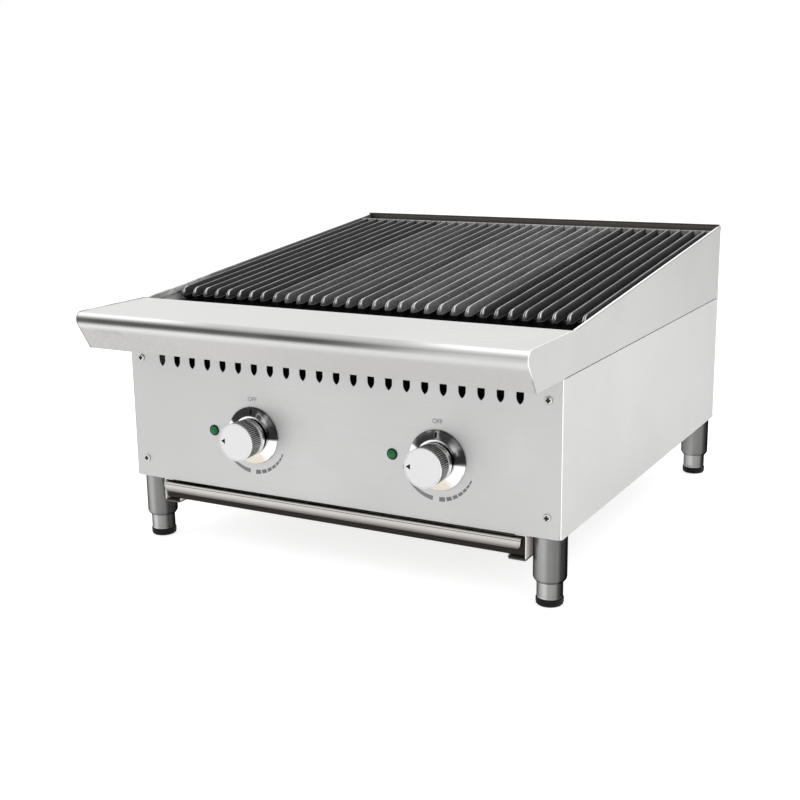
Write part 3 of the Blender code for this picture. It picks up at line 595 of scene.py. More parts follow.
def splash_steel():
    """The upper sides' steel: within, smeared near the front and painted dark with shade towards the back;
    a painted highlight along the rolled hem.
    """
    made = receding_steel("splash_steel", (0.478, 0.478, 0.472), (0.315, 0.315, 0.311))
    inward = made.product(made.where["X"], made.facing["X"])
    inner = made.remap(inward, -0.15 * HALF, -0.7 * HALF)
    cloud = made.remap(made.noise(45.0, (1, 0.6, 1.6), detail=4.0), 0.36, 0.66)
    smears = made.mix(cloud, (0.34, 0.34, 0.335), (0.9, 0.9, 0.89))
    # Painted shade: the inner faces darken towards the back.
    near = made.remap(made.where["Y"], PANEL_Y + 0.3, PANEL_Y + 0.06)
    made.layer(made.mix(near, (0.16, 0.16, 0.158), smears), inner)
    # Painted highlight along the top of the rolled hem.
    made.layer((0.96, 0.96, 0.95), made.remap(made.facing["Z"], 0.7, 0.95))
    made.set(Metallic=made.math("SUBTRACT", 1.0, made.product(inner, 0.7)))
    return made


def sides():
    lower = receding_steel("side_steel", (0.523, 0.523, 0.517), (0.385, 0.385, 0.38))
    upper = splash_steel()
    # Edge finish: bright ground steel, and a painted highlight too.
    edge = plain("ground_edge_sheen", (0.92, 0.92, 0.91), 0.3, 1.0, grain=0.02)
    corner, ear, clear, rear = 0.002, 0.004, 0.008, BODY_DEPTH
    rear_fold, seam_fold, hem = 0.0016, 0.0008, 0.0022
    low = [
        (0.0, FLOOR + corner), (corner, FLOOR), (rear, FLOOR), (rear, FLOOR + ear), (rear, -GAP - ear),
        (rear, -GAP), (rear - ear, -GAP), (ear, -GAP), (0.0, -GAP),
    ]
    over_apron = apron_path()
    over_apron[-1] = (over_apron[-1][0] + GAP * math.tan(APRON_LEAN), GAP)
    high = [(rear, GAP), (rear, GAP + ear), (rear, REAR_TOP - clear)]
    high += arc((rear - corner, REAR_TOP - corner), corner, 0, 85, 6)
    slope = len(high)
    high += [(rear - clear, REAR_TOP - clear * RISE), *over_apron, (ear, GAP), (rear - ear, GAP)]
    low_folds = {3: (rear_fold, 90, 0.0104), 6: (seam_fold, 90, 0.0112)}
    high_folds = {1: (rear_fold, 90, 0.0084), slope: (hem, 180, 0.006)}
    high_folds[len(high) - 2] = (seam_fold, 90, 0.0092)
    for side in SIDES:
        side_shell(f"cabinet_side_{side}", side, low, low_folds, (lower, edge), f"side_lower_{side}")
        side_shell(f"splash_side_{side}", side, high, high_folds, (upper, edge), f"side_upper_{side}")


def apron():
    fold, flange, foot_end = 0.002, 0.036, 0.0015
    path = apron_path(APRON_INSET, 24, GAP)
    end, top = path[0]
    rear = [(end, top - flange)] + arc((end - fold, top - fold), fold, 0, 90, 6)
    sheet = extruded(ribbon(rear + path[1:] + [(foot_end, GAP)]), INNER)
    soften(piece("front_ledge", sheet, apron_steel(), "front_apron"), 0.0003)


SLOT_COUNT = 22
SLOT_PITCH = 0.0241
SLOT_WIDTH = 0.0094
SLOT_LOW = -0.0336
SLOT_HIGH = -0.005
SLOT_POINT = 0.0088
LAMP_HOLE = 0.0063


def slot_outline(x, steps=6):
    """A tall slot with straight sides and a pointed arch at each end."""
    half = SLOT_WIDTH / 2
    radius = (half**2 + SLOT_POINT**2) / SLOT_WIDTH
    swing = math.degrees(math.asin(SLOT_POINT / radius))
    low, high = SLOT_LOW + SLOT_POINT, SLOT_HIGH - SLOT_POINT
    right = arc((x + half - radius, high), radius, 0, swing, steps)
    left = arc((x - half + radius, high), radius, 180 - swing, 180, steps)[1:]
    under_left = arc((x - half + radius, low), radius, 180, 180 + swing, steps)
    under_right = arc((x + half - radius, low), radius, -swing, 0, steps)[1:]
    return right + left + under_left + under_right


def control_panel():
    """The pierced fascia, filled between its outline and its holes."""
    corner, top, rim, screw_hole = 0.005, -0.0008, 0.00015, 0.0025
    outline = [(-INNER, top)]
    outline += arc((-INNER + corner, FLOOR + corner), corner, 180, 270, 8)
    outline += arc((INNER - corner, FLOOR + corner), corner, 270, 360, 8)
    outline += [(INNER, top)]
    start = (1 - SLOT_COUNT) / 2 * SLOT_PITCH
    rings = [outline] + [slot_outline(start + i * SLOT_PITCH) for i in range(SLOT_COUNT)]
    controls = {"knob_shaft": 0.0045, "lamp_lens": LAMP_HOLE + 0.0002}
    screws = {"panel_screw_upper": screw_hole, "panel_screw_lower": screw_hole}
    for holes in (controls, screws):
        rings += [hole(f"{node}_{side}", holes[node]) for side in SIDES for node in holes]
    curve = poly_curve("2D", [[(x, z, 0.0) for x, z in ring] for ring in rings])
    curve.fill_mode = "BOTH"
    curve.extrude = SHEET / 2 - rim
    curve.bevel_depth = rim
    curve.bevel_resolution = 1
    curve.offset = -rim
    mesh = curve_mesh(curve)
    stand_up(mesh, 0, SHEET / 2, 0)
    bm = bmesh.new()
    bm.from_mesh(mesh)
    bmesh.ops.remove_doubles(bm, verts=bm.verts, dist=0.000001)
    made = brushed_steel("panel_steel", "x", (0.53, 0.53, 0.527), 0.5)
    # Painted shade: the fascia darker towards its left end.
    made.layer((0.495, 0.495, 0.492), made.remap(made.where["X"], -0.05, -0.3, 0.0, 0.8))
    piece("control_fascia", bm, made, "control_panel", smooth=20.0)


def back_panel():
    made = brushed_steel("back_steel", "x")
    # Painted shade on the wall's inner face, inside the firebox.
    made.layer((0.13, 0.12, 0.108), made.remap(made.facing["Y"], -0.55, -0.9))
    # Painted highlight along the top of the hem.
    made.layer((0.9, 0.9, 0.89), made.remap(made.facing["Z"], 0.2, 0.5))
    roll = 0.0026
    top = SPLASH_TOP - roll
    hem = arc((BACK - roll, top), roll, 0, 210, 14)
    wall = extruded(ribbon([(BACK, FLOOR), (BACK, top)] + hem[1:]), INNER - 0.0002)
    obj = piece("back_wall", wall, made, "back_panel")
    end, half, reach = 0.002, 0.028, 0.008
    rings = []
    for x in (-0.1, 0.0, 0.1):
        for z in (-0.058, -0.073, -0.088):
            rings.append(arc((x + half, z), end, -90, 90, 8) + arc((x - half, z), end, 90, 270, 8))
    rings.append(hole("cable_gland", 0.0105))
    through = (BACK - reach, BACK + reach)
    carve(obj, lofts(*[[[at(x, depth, z) for x, z in ring] for depth in through] for ring in rings]))
    soften(obj, 0.00025)


# ---- grates
BARS = 8
BAR_PITCH = 0.0186
BAR_HEIGHT = 0.02
GRATE_LENGTH = 0.518
GRATE_FRONT = (0.0955, 0.0545)
GRATE_ORIGIN = at(0.0, *GRATE_FRONT)
GRATE_LEAN = math.atan(RISE)
SHOULDER = -0.0105
NOSE_CURVE = 0.011
RAIL_FOOT = -BAR_HEIGHT - 0.004


def bar_levels():
    """(height, half width, reach back of the front edge) of a bar, from its ridge down to its foot."""
    wedge = [(0.0, 0.0007), (-0.00015, 0.001), (-0.0006, 0.0014), (-0.0014, 0.0018), (-0.0028, 0.0023)]
    wedge += [(-0.0045, 0.0029), (-0.0062, 0.0034), (-0.008, 0.004), (-0.0094, 0.0044), (-0.0103, 0.0047)]
    wedge += [(-0.0107, 0.0047), (-0.0113, 0.0045), (-0.0135, 0.0038), (-0.016, 0.0031)]
    wedge += [(-0.0185, 0.0024), (-0.0197, 0.0018), (-BAR_HEIGHT, 0.0013)]
    levels = []
    for height, half in wedge:
        rise = height - SHOULDER
        curved = NOSE_CURVE - math.sqrt(NOSE_CURVE**2 - min(rise, -SHOULDER) ** 2)
        levels.append((height, half, curved if rise > 0 else -1.1 * rise))
    return levels


def bar_rings(bar):
    """A bar in the casting's own frame: its ridge along +Y at height 0, its nose at 0."""
    back, spans = GRATE_LENGTH - 0.003, 12
    middle = (bar - (BARS - 1) / 2) * BAR_PITCH
    rings = []
    for height, half, reach in bar_levels():
        tip = min(half * 1.6, 0.0052)
        start = reach + tip
        flank = [(half, back + (start - back) * i / spans) for i in range(spans)]
        nose = [(half * math.cos(a), start - tip * math.sin(a)) for a in arc_angles(0, 180, 10)]
        ring = []
        for x, y in flank + nose + [(-x, y) for x, y in flank[::-1]]:
            wander = 0.00013 * math.sin(y * 71 + bar * 2.1) + 0.00005 * math.sin(y * 390 + bar)
            heave = 0.0001 * math.sin(y * 53 + bar * 1.3)
            ring.append((middle + x + wander, y, height + heave - 0.0001))
        rings.append(ring)
    return rings


def rail_rings(low, high, radius=0.0012):
    """A cast cross rail with rounded long edges."""
    (x0, y0, z0), (x1, y1, z1) = low, high
    near, far, foot, top = y0 + radius, y1 - radius, z0 + radius, z1 - radius
    ring = arc((far, top), radius, 90, 0, 4) + arc((far, foot), radius, 0, -90, 4)
    ring += arc((near, foot), radius, 270, 180, 4) + arc((near, top), radius, 180, 90, 4)
    return [[(x, y, z) for y, z in ring] for x in (x0, x1)]


def grates():
    dark = cast_iron("iron_seasoned", (0.008, 0.008, 0.0083), grey(0.26))
    # The middle two grates have lighter iron than the outer two.
    pale = cast_iron("iron_lighter", (0.033, 0.033, 0.0335), grey(0.3))
    lightest = cast_iron("iron_lightest", (0.054, 0.054, 0.0545), grey(0.36))
    bars = [bar_rings(bar) for bar in range(BARS)]
    for number, iron in enumerate((dark, pale, lightest, dark), 1):
        node = f"grate_{number}"
        low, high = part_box(node)
        middle, half = (low.x + high.x) / 2, (high.x - low.x) / 2
        front = rail_rings((-half, 0.018, RAIL_FOOT), (half, 0.028, -0.0125))
        rear = rail_rings((-half, GRATE_LENGTH - 0.0045, RAIL_FOOT), (half, GRATE_LENGTH, -0.0004))
        stay = rail_rings((-half + 0.004, 0.262, -0.0195), (half - 0.004, 0.268, -0.0105))
        bm = lofts(*bars, front, rear, stay)
        lean = Matrix.Translation(at(middle, *GRATE_FRONT)) @ Matrix.Rotation(GRATE_LEAN, 4, "X")
        bmesh.ops.transform(bm, matrix=lean, verts=bm.verts)
        piece(f"grate_casting_{number}", bm, iron, node, node, "cast_iron", smooth=40.0)


# ---- drip tray
def drip_tray():
    """A shallow pan, and its lip, which hangs in front of the panel."""
    low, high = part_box("drip_tray")
    front, rim = 0.0015, -0.1925
    # The pan is duller and darker than its lip, partly as painted shade for what shows under the panel.
    made = brushed_steel("tray_steel", "x", (0.26, 0.25, 0.24), 0.42)
    # Painted shade: the pan's front wall, under the lip, is near black.
    before = made.remap(made.where["Y"], PANEL_Y + front + 0.003, PANEL_Y + front + 0.001)
    made.layer((0.026, 0.023, 0.02), before)
    half, back = 0.2595, high.y - PANEL_Y
    corners = [(-half, front), (half, front), (half, back), (-half, back)]
    bm = bmesh.new()
    foot, lip = ([bm.verts.new(at(*corner, z)) for corner in corners] for z in (low.z - SEAM_Z, rim))
    bm.faces.new(foot[::-1])
    bridge(bm, [foot, lip])
    pan = mesh_piece("drip_pan", mesh_from("drip_pan", bm), made, "drip_tray", "drip_tray")
    bevel(pan, 0.003, segments=6, angle=30.0)
    thicken(pan)
    soften(pan)
    reach, top, bottom, bend, curl = -0.0055, rim + 0.0016, -0.2045, 0.0018, 0.0042
    root, end, round_off = front + SHEET / 2, 0.2575, 0.0085
    path = [(root, rim - 0.006), (root, top)]
    path += arc((reach + bend, top - bend), bend, 90, 180, 8)
    path += arc((reach + curl, bottom + curl), curl, 180, 285, 12)
    rings = []
    for share in (-1, 1):
        ring = []
        for depth, height in ribbon(path):
            below = bottom + round_off - height
            inset = round_off - math.sqrt(round_off**2 - min(max(below, 0.0), round_off) ** 2)
            ring.append(at((end - inset) * share, depth, height))
        rings.append(ring)
    made = brushed_steel("tray_lip_steel", "x", (0.53, 0.51, 0.485), 0.36, 0.02)
    height = made.math("SUBTRACT", made.where["Z"], SEAM_Z)
    # Painted shade: darker under the lip's curl, a dark line where the top folds down, near black behind
    # the panel's face.
    made.layer((0.13, 0.12, 0.11), made.remap(height, -0.195, -0.2045))
    made.layer((0.16, 0.15, 0.14), made.between(height, (-0.194, -0.1936), (-0.193, -0.1926)))
    made.layer(grey(0.008), made.remap(made.where["Y"], PANEL_Y - 0.002, PANEL_Y - 0.0008))
    soften(piece("drip_pan_lip", lofts(rings), made, body="drip_tray"))


# ---- legs
# Grey levels round a leg of the painted reflection: light band, dark side.
LEG_BANDS = (
    (0.0, 0.17), (0.22, 0.17), (0.3, 0.2), (0.415, 0.36), (0.47, 0.19),
    (0.54, 0.14), (0.595, 0.01), (0.72, 0.005), (0.82, 0.13), (1.0, 0.17),
)


def leg_steel(name, level):
    """Satin tube with a painted reflection: the room's light as an upright band and its dark side beyond
    it.
    """
    made = brushed_steel(name, "z", (0.16 * level, 0.16 * level, 0.158 * level), 0.3, 0.35)
    across = made.along(made.normal, (0.878, 0.478, 0.0))
    facing = made.along(made.normal, (0.478, -0.878, 0.0))
    turn = made.remap(made.math("ARCTAN2", across, facing), -math.pi, math.pi, smooth=False)
    made.layer(made.steps(turn, tuple((value, band * level) for value, band in LEG_BANDS)), 0.82)
    made.set(Specular_Tint=grey(0.15))
    return made


def legs():
    tube_steel, sleeve_steel = leg_steel("leg_steel", 1.0), leg_steel("leveller_steel", 1.55)
    rubber = plain("foot_rubber", grey(0.006), 0.5, grain=0.2, bump=0.0001, Specular_IOR_Level=0.12)
    stud, stud_length, wall = 0.005, 0.016, 0.0015
    for name in ("front_left", "front_right", "rear_left", "rear_right"):
        foot = centre_of(f"foot_cap_{name}")
        foot.z = 0.0
        low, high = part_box(f"leg_tube_{name}")
        radius, end, top = (high.x - low.x) / 2, low.z, high.z - stud_length
        cap, sleeve = (reach_of(f"foot_{part}_{name}", foot) for part in ("cap", "sleeve"))
        cap_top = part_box(f"foot_sleeve_{name}")[0].z - GAP
        mouth = sleeve + 0.0004
        profile = [
            (0.0, top + stud_length), (stud, top + stud_length), (stud, top), (radius, top),
            (radius, end + 0.0062), (radius - 0.0004, end + 0.0036), (radius - 0.002, end + 0.0016),
            (mouth + 0.001, end), (mouth, end), (mouth, end + 0.012), (radius - wall, end + 0.015),
            (radius - wall, top - wall), (0.0, top - wall),
        ]
        tube = lathe(rounded(profile, 0.0012), foot, 0)
        piece(f"leg_{name}", tube, tube_steel, f"leg_tube_{name}")
        inner, groove, sleeve_top = sleeve - wall, cap_top + 0.003, 0.07
        ring = [
            (sleeve, sleeve_top), (sleeve, groove + 0.0008), (sleeve - 0.0004, groove),
            (sleeve, groove - 0.0008), (sleeve, cap_top + GAP), (inner, cap_top + GAP), (inner, sleeve_top),
        ]
        body, node = f"foot_{name}", f"foot_sleeve_{name}"
        piece(f"leveller_{name}", lathe(ring, foot, 0), sleeve_steel, node, body)
        plug, plug_top = inner - GAP, 0.022
        pad = [
            (0.0, plug_top), (plug, plug_top), (plug, cap_top), (cap - 0.0006, cap_top),
            (cap, cap_top - 0.0008), (cap, 0.0058), (cap - 0.0005, 0.0052), (cap - 0.0005, 0.0046),
            (cap, 0.004), (cap - 0.0006, 0.0016), (cap - 0.002, 0.0004), (cap - 0.0045, 0.0), (0.0, 0.0),
        ]
        piece(f"pad_{name}", lathe(pad, foot, 0), rubber, f"foot_cap_{name}", body, "black_plastic")


# ---- controls
KNURLS = 60
GRIP_LENGTH = 0.0225


def knob_profile(face, radius):
    """The knob's section: bright rim, knurled grip, waist and collar."""
    collar, base, sunk, foot = radius - 0.0016, 0.0068, face - 0.0016, face - GRIP_LENGTH
    groove, hub, bore = collar - 0.001, 0.008, 0.0034
    return [
        (0.0, sunk), (radius - 0.0011, sunk), (radius - 0.0011, face - 0.0003), (radius - 0.0009, face),
        (radius - 0.0005, face), (radius, face - 0.0006),
        *((radius - 0.00004 * i, face - 0.0012 - 0.00135 * i) for i in range(16)),
        (collar - 0.0012, foot + 0.0002), (collar - 0.0009, foot - 0.001), (collar + 0.0008, 0.0104),
        (collar + 0.0006, 0.0097), (groove, 0.0094), (groove, base + 0.0003), (groove - 0.0003, base),
        (hub, base), (hub, 0.012), (bore, 0.012), (bore, 0.03), (0.0, 0.03),
    ]


def knob_grip(side, face, radius, centre, materials):
    """The turned and knurled body, its plated collar set off by a groove behind painted black as shade;
    the knurl has painted highlights on its crests and painted shade in its roots.
    """
    top, foot = face - 0.002, face - GRIP_LENGTH

    def knurl(r, height, angle):
        if r > radius - 0.0008 and foot < height < top:
            return r - 0.0005 * (0.5 - 0.5 * math.cos(KNURLS * angle))
        return r

    bm = lathe(knob_profile(face, radius), centre, steps=KNURLS * 4, ripple=knurl)
    bright, crest, root = range(3)
    for wall in bm.faces:
        middle = wall.calc_center_median() - centre
        height, r = -middle.y, math.hypot(middle.x, middle.z)
        turn = (math.atan2(middle.z, middle.x) * KNURLS / (2 * math.pi)) % 1.0
        # Painted light on the knurl: crests lighter, roots and the groove behind the collar near black as
        # painted shade.
        if foot - 0.001 < height < top and r > radius - 0.0015:
            wall.material_index = crest if min(turn, 1 - turn) < 0.22 else root
        elif r > 0.009 and height < 0.0095:
            wall.material_index = root
    body = f"knob_{side}"
    obj = piece(f"knob_grip_{side}", bm, materials[bright], body, body, "chrome", smooth=45.0)
    for extra in materials[crest:]:
        obj.data.materials.append(extra.material)


def knobs():
    plated = plain("knob_plate", (0.84, 0.84, 0.83), 0.26, 1.0, grain=0.02)
    # Knurl finishes: grey crests as a painted highlight, near-black roots as painted shade.
    crest = plain("knob_crest", grey(0.46), 0.3, 1.0)
    root = plain("knob_root", grey(0.008), 0.5, Specular_IOR_Level=0.12)
    ink = plain("pointer_ink", grey(0.006), 0.5, Specular_IOR_Level=0.1)
    satin = Shader("knob_face_satin")
    speckle = satin.noise(700.0, detail=2.0)
    satin.set(Base_Color=satin.mix(speckle, grey(0.585), grey(0.645)), Metallic=1.0, Roughness=0.4)
    satin.bump(speckle, 0.00002, 0.3)
    for side in SIDES:
        centre, body = on_panel(f"knob_shaft_{side}"), f"knob_{side}"
        face = PANEL_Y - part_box(body)[0].y
        radius = reach_of(body, centre)
        knob_grip(side, face, radius, centre, (plated, crest, root))
        disc = radius - 0.0012
        front, back = face - 0.0001, face - 0.0013
        section = [(0.0, front), (disc - 0.0004, front), (disc, front - 0.0003), (disc, back), (0.0, back)]
        piece(f"knob_disc_{side}", lathe(section, centre), satin, f"knob_face_{side}", body)
        tip, size, thick = disc - 0.0017, 0.0055, 0.00008
        marker = [(-tip, 0.0), (-tip + size, size * 0.64), (-tip + size, -size * 0.64)]
        layers = [[centre + Vector((x, -front - lift, z)) for x, z in marker] for lift in (-thick, thick)]
        piece(f"knob_pointer_{side}", lofts(layers), ink, "", body, "black_plastic")
        opening, bezel = 0.02, reach_of(f"knob_bezel_{side}", centre)
        ring = [
            (opening, 0.0056), (opening + 0.0004, 0.006), (0.0235, 0.0062), (0.0258, 0.006),
            (0.029, 0.0051), (0.033, 0.0041), (bezel - 0.0018, 0.0033), (bezel - 0.0006, 0.0028),
            (bezel, 0.002), (bezel, GAP), (opening, GAP),
        ]
        plate, node = chrome(f"bezel_chrome_{side}", centre), f"knob_bezel_{side}"
        piece(f"bezel_{side}", lathe(ring, centre, steps=96), plate, node, slot="chrome", smooth=25.0)


def dome_profile(radius, foot, rise):
    """(radius, height) from the top of a dome down to its rim."""
    return [(radius * math.sin(a), foot + rise * math.cos(a)) for a in arc_angles(0, 90, 9)]


def lamps():
    ring_finish = plain("lamp_ring", (0.008, 0.016, 0.011), 0.45, Specular_IOR_Level=0.2)
    glass = Shader("lamp_glass")
    facets = glass.cells(700.0)["Distance"]
    glow = glass.mix(glass.remap(facets, 0.1, 0.7), (0.0005, 0.052, 0.014), (0.002, 0.12, 0.033))
    glass.set(Base_Color=glow, Roughness=0.3, Specular_IOR_Level=0.25)
    glass.set(Emission_Color=(0.0, 0.1, 0.022), Emission_Strength=0.18)
    # Painted shade on the dome where it turns away from the front.
    glass.layer((0.0002, 0.022, 0.006), glass.remap(glass.math("ABSOLUTE", glass.facing["Y"]), 0.8, 0.45))
    glass.bump(facets, 0.0002, 0.5)
    hole, inner, tail, lens_back = LAMP_HOLE, LAMP_HOLE - 0.0004, -0.02, -0.012
    lens = inner - 0.0001
    dome = dome_profile(lens, 0.0008, 0.0024) + [(lens, lens_back), (0.0, lens_back)]
    for side in SIDES:
        centre, node = on_panel(f"lamp_lens_{side}"), f"lamp_barrel_{side}"
        outer = reach_of(node, centre)
        ring = [
            (inner, 0.0012), (inner + 0.0001, 0.0014), (hole + 0.0002, 0.0014), (outer - 0.0002, 0.0009),
            (outer, 0.0006), (outer, GAP), (hole, GAP), (hole, tail), (inner, tail),
        ]
        piece(f"lamp_ring_{side}", lathe(ring, centre, steps=48), ring_finish, node)
        node, bm = f"lamp_lens_{side}", lathe(dome, centre, steps=48)
        piece(f"lamp_dome_{side}", bm, glass, node, slot="lamp_green")


def panel_screws():
    """Pan-head screws, each with a cross recess."""
    steel = plain("screw_steel", (0.58, 0.57, 0.55), 0.22, 1.0)
    # The cross recess is painted near black, as painted shade.
    recess = plain("screw_recess", grey(0.03), 0.5, 0.5)
    head, shank = 0.0047, 0.0022
    section = dome_profile(head, 0.0006, 0.0021)
    section += [(head, GAP), (shank, GAP), (shank, -0.009), (0.0, -0.01)]
    for name in [f"{level}_{side}" for side in SIDES for level in ("upper", "lower")]:
        node = f"panel_screw_{name}"
        centre = on_panel(node)
        obj = piece(f"screw_{name}", lathe(section, centre, steps=40), steel, node)
        cutters = []
        for upright in (True, False):
            rings = []
            for depth, arm, thin in ((-0.004, 0.0041, 0.0016), (-0.0006, 0.002, 0.001)):
                x, z = (thin, arm) if upright else (arm, thin)
                ring = ((-x, -z), (x, -z), (x, z), (-x, z))
                rings.append([centre + Vector((a, depth, b)) for a, b in ring])
            cutters.append(lofts(rings))
        carve(obj, *cutters, lining=recess)


DIAL_RADIUS = 0.048
INK_PROUD = 0.00006


def dial_band(centre, start, end, thin, thick, steps):
    """A flat arc about the centre that grows from thin to thick outwards and inwards."""
    rows = []
    for i, angle in enumerate(arc_angles(start, end, steps)):
        half = (thin + (thick - thin) * i / steps) / 2
        way = Vector((math.cos(angle), 0, math.sin(angle)))
        outer, inner = DIAL_RADIUS + half, DIAL_RADIUS - half
        corners = ((outer, -INK_PROUD), (inner, -INK_PROUD), (inner, INK_PROUD), (outer, INK_PROUD))
        rows.append([centre + way * r + Vector((0, y, 0)) for r, y in corners])
    return rows


def dial_marks():
    """Printed power scale: a growing wedge, then a fading row of blocks, with OFF above."""
    pale = plain("dial_ink_grey", grey(0.165), 0.5)
    dark = plain("dial_ink_dark", grey(0.135), 0.5)
    black = plain("tick_ink", grey(0.004), 0.6, Specular_IOR_Level=0.05)
    tick, tick_thick = 0.0011, 0.0018
    for side in SIDES:
        centre = on_panel(f"knob_shaft_{side}")
        blocks = []
        for i in range(7):
            start = -88.0 + 11.9 * i - 0.37 * i * i
            tall = 0.0056 - 0.00058 * i
            blocks.append(dial_band(centre, start, start + 9.2 - 0.55 * i, tall, tall - 0.0003, 4))
        text = bpy.data.curves.new("OFF", "FONT")
        text.body = "OFF"
        text.align_x = "CENTER"
        text.size = 0.0078
        text.extrude = INK_PROUD
        text.offset = 0.00008
        off = curve_mesh(text)
        stand_up(off, centre.x, 0, -0.0668)
        rings = []
        for up, near in ((0.0286, 0.0058), (0.0345, 0.0043)):
            far = near - tick_thick
            corners = ((-tick, near), (tick, near), (tick, far), (-tick, far))
            rings.append([centre + Vector((x, -y, up)) for x, y in corners])
        wedge = lofts(dial_band(centre, -166, -98, 0.001, 0.0056, 30))
        piece(f"dial_wedge_{side}", wedge, pale, slot="black_plastic")
        piece(f"dial_blocks_{side}", lofts(*blocks), dark, slot="black_plastic")
        mesh_piece(f"dial_off_{side}", off, pale, slot="black_plastic")
        soften(piece(f"bezel_tick_{side}", lofts(rings), black, slot="black_plastic"), 0.0001)


# ---- firebox and wiring
def heating_elements():
    """Two sheathed elements, each in four runs that follow the slope of the grates."""
    sheath = Shader("element_sheath")
    scale = sheath.noise(60.0, detail=4.0)
    tint = sheath.mix(scale, (0.05, 0.045, 0.042), (0.17, 0.15, 0.13))
    sheath.set(Base_Color=tint, Metallic=0.7, Roughness=sheath.remap(scale, 0.3, 0.7, 0.38, 0.6))
    sheath.bump(scale, 0.0001, 0.4)
    radius, drop, lead_z = 0.004, 0.046, -0.03
    tail, foot, shoulder, near, far = 0.048, 0.1, 0.112, 0.135, 0.575

    def lie(x, depth):
        return at(x, depth, GRATE_FRONT[1] + (depth - GRATE_FRONT[0]) * RISE - drop)

    for side, sign in SIDES.items():
        first, last = sorted((sign * 0.05, sign * 0.25))
        points = [at(first, tail, lead_z), at(first, foot, lead_z)]
        for i, ends in enumerate(((shoulder, far), (far, near), (near, far), (far, shoulder))):
            points += [lie(first + (last - first) * i / 3, depth) for depth in ends]
        points += [at(last, foot, lead_z), at(last, tail, lead_z)]
        curve = poly_curve("3D", [rounded(points, 0.012, 6)])
        curve.bevel_depth = radius
        curve.bevel_resolution = 4
        curve.use_fill_caps = True
        node, slot = f"heating_element_{side}", "element_sheath"
        mesh_piece(f"element_{side}", curve_mesh(curve), sheath, node, slot=slot, smooth=50.0)


def cable_gland():
    middle = centre_of("cable_gland")
    middle.y = PANEL_Y + BODY_DEPTH
    bore, nut, flange, thread, inside = 0.0055, 0.012, 0.015, 0.01, -0.012
    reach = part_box("cable_gland")[1].y - middle.y

    def grip(radius, height, angle):
        ridged = radius > nut - 0.0004 and 0.0108 < height < reach - 0.003
        return radius - 0.0005 * (0.5 + 0.5 * math.cos(18 * angle)) if ridged else radius

    profile = [
        (bore, reach - 0.0006), (bore + 0.0006, reach), (0.008, reach), (0.0092, reach - 0.0012),
        (nut, reach - 0.0045), (nut, 0.017), (nut, 0.0115), (flange - 0.0006, 0.0104),
        (flange, 0.0098), (flange, GAP), (thread, GAP), (thread, inside), (bore, inside),
    ]
    nylon = plain("gland_nylon", grey(0.022), 0.42, grain=0.15)
    bm = lathe(profile, middle, -90, 144, grip)
    piece("supply_gland", bm, nylon, "cable_gland", slot="black_plastic")


def dress_frame_nodes():
    """Procedural finishes for the CAD nodes that stay."""
    galvanised = Shader("galvanised_sheet")
    facets = galvanised.split(galvanised.cells(140.0)["Color"])["X"]
    spangle = galvanised.mix(facets, (0.4, 0.41, 0.42), (0.56, 0.57, 0.58))
    rough = galvanised.remap(facets, 0.0, 1.0, 0.38, 0.55)
    galvanised.set(Base_Color=spangle, Metallic=0.9, Roughness=rough)
    rail = brushed_steel("rail_steel", "y", (0.8, 0.76, 0.71), 0.5)
    rail.set(Metallic=0.0)
    # Painted shade on the rail's bottom flange.
    rail.layer((0.1, 0.09, 0.08), rail.remap(rail.where["Z"], SEAM_Z - 0.215, SEAM_Z - 0.218))
    # The wall behind the panel's slots is painted near black, as painted shade seen through the slots.
    shaded_wall = plain("sooty_steel", (0.022, 0.021, 0.02), 0.6, 0.3, grain=0.5, scale=30.0, bump=0.0002)
    finishes = {
        ("base_frame", "grate_support", "element_support"): galvanised,
        "firebox_front_wall": shaded_wall,
        "tray_rail": rail,
        "supply_conduit": plain("conduit_armour", (0.45, 0.45, 0.44), 0.4, 0.9, scale=400.0, bump=0.0004),
        ("terminal_block", "power_regulator"): plain("terminal_nylon", (0.72, 0.71, 0.67), 0.5),
        "wiring_loom": plain("loom_sleeve", grey(0.03), 0.6, scale=900.0, bump=0.0003),
        ("leg_nut", "knob_shaft"): plain("nut_zinc", (0.52, 0.52, 0.5), 0.35, 0.9),
    }
    for name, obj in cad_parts.items():
        for starts, finish in finishes.items():
            if name.startswith(starts):
                obj.data.materials.clear()
                obj.data.materials.append(finish.material)
                bevel(obj, 0.0002)


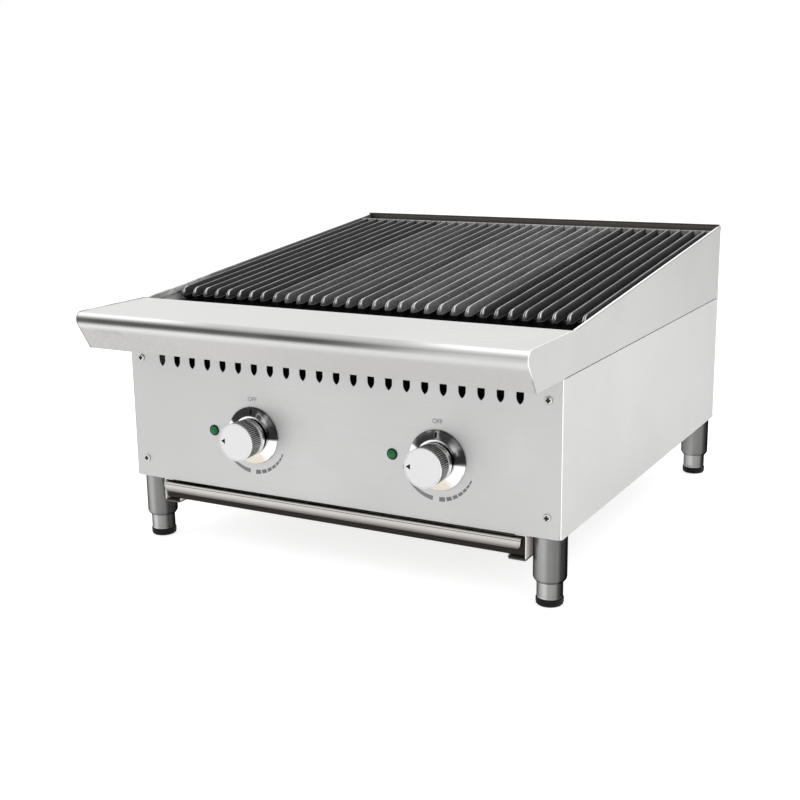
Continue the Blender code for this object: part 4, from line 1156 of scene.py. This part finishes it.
# ---- studio
CAMERA_AIM = Vector((-0.0139, -0.0746, 0.1741))
CAMERA_DISTANCE = 1.75
CAMERA_AZIMUTH = 28.56
CAMERA_ELEVATION = 13.32
CAMERA_ROLL = -0.76
CAMERA_LENS = 57.37
SKY = ((0.0, 0.475), (0.1, 0.525), (0.35, 0.625), (1.0, 0.675))
SKY_STRENGTH = 2.0


def camera():
    made = bpy.data.cameras.new("camera")
    made.lens = CAMERA_LENS
    obj = add_object("camera", made)
    turn = Matrix()
    for angle, axis in ((CAMERA_AZIMUTH, "Z"), (90 - CAMERA_ELEVATION, "X"), (CAMERA_ROLL, "Z")):
        turn = turn @ Matrix.Rotation(math.radians(angle), 4, axis)
    away = turn.to_3x3() @ Vector((0, 0, CAMERA_DISTANCE))
    obj.matrix_world = Matrix.Translation(CAMERA_AIM + away) @ turn
    bpy.context.scene.camera = obj


def studio_floor():
    bm = bmesh.new()
    bmesh.ops.create_grid(bm, x_segments=1, y_segments=1, size=6.0)
    obj = add_object("studio_floor", mesh_from("floor", bm))
    obj.location.z = -0.0002
    made = Shader("studio_floor")
    made.set(Base_Color=made.mix(made.noise(3.0), grey(0.5), grey(0.53)), Roughness=0.9)
    made.set(Emission_Color=grey(1.0), Emission_Strength=0.72)
    obj.data.materials.append(made.material)


def studio_light():
    """A white room: bright overhead, a little darker towards the horizon, and white to the camera."""
    world = bpy.data.worlds.new("studio")
    bpy.context.scene.world = world
    bpy.context.scene.view_settings.view_transform = "Standard"
    room = Nodes(world)
    height = room.split(room.node("TexCoord").outputs["Generated"])["Z"]
    lit, seen = room.tree.nodes["Background"], room.node("Background", {"Color": grey(1.0)})
    room.link(room.steps(height, SKY, blue=1.0), lit.inputs["Color"])
    room.link(SKY_STRENGTH, lit.inputs["Strength"])
    camera_ray = room.node("LightPath").outputs["Is Camera Ray"]
    choose = room.node("MixShader", {0: camera_ray, 1: lit.outputs[0], 2: seen.outputs[0]})
    room.link(choose.outputs[0], room.tree.nodes["World Output"].inputs["Surface"])


# ---- assembly
sides()
apron()
control_panel()
back_panel()
grates()
drip_tray()
legs()
knobs()
lamps()
panel_screws()
dial_marks()
heating_elements()
cable_gland()
dress_frame_nodes()
studio_floor()
studio_light()
camera()
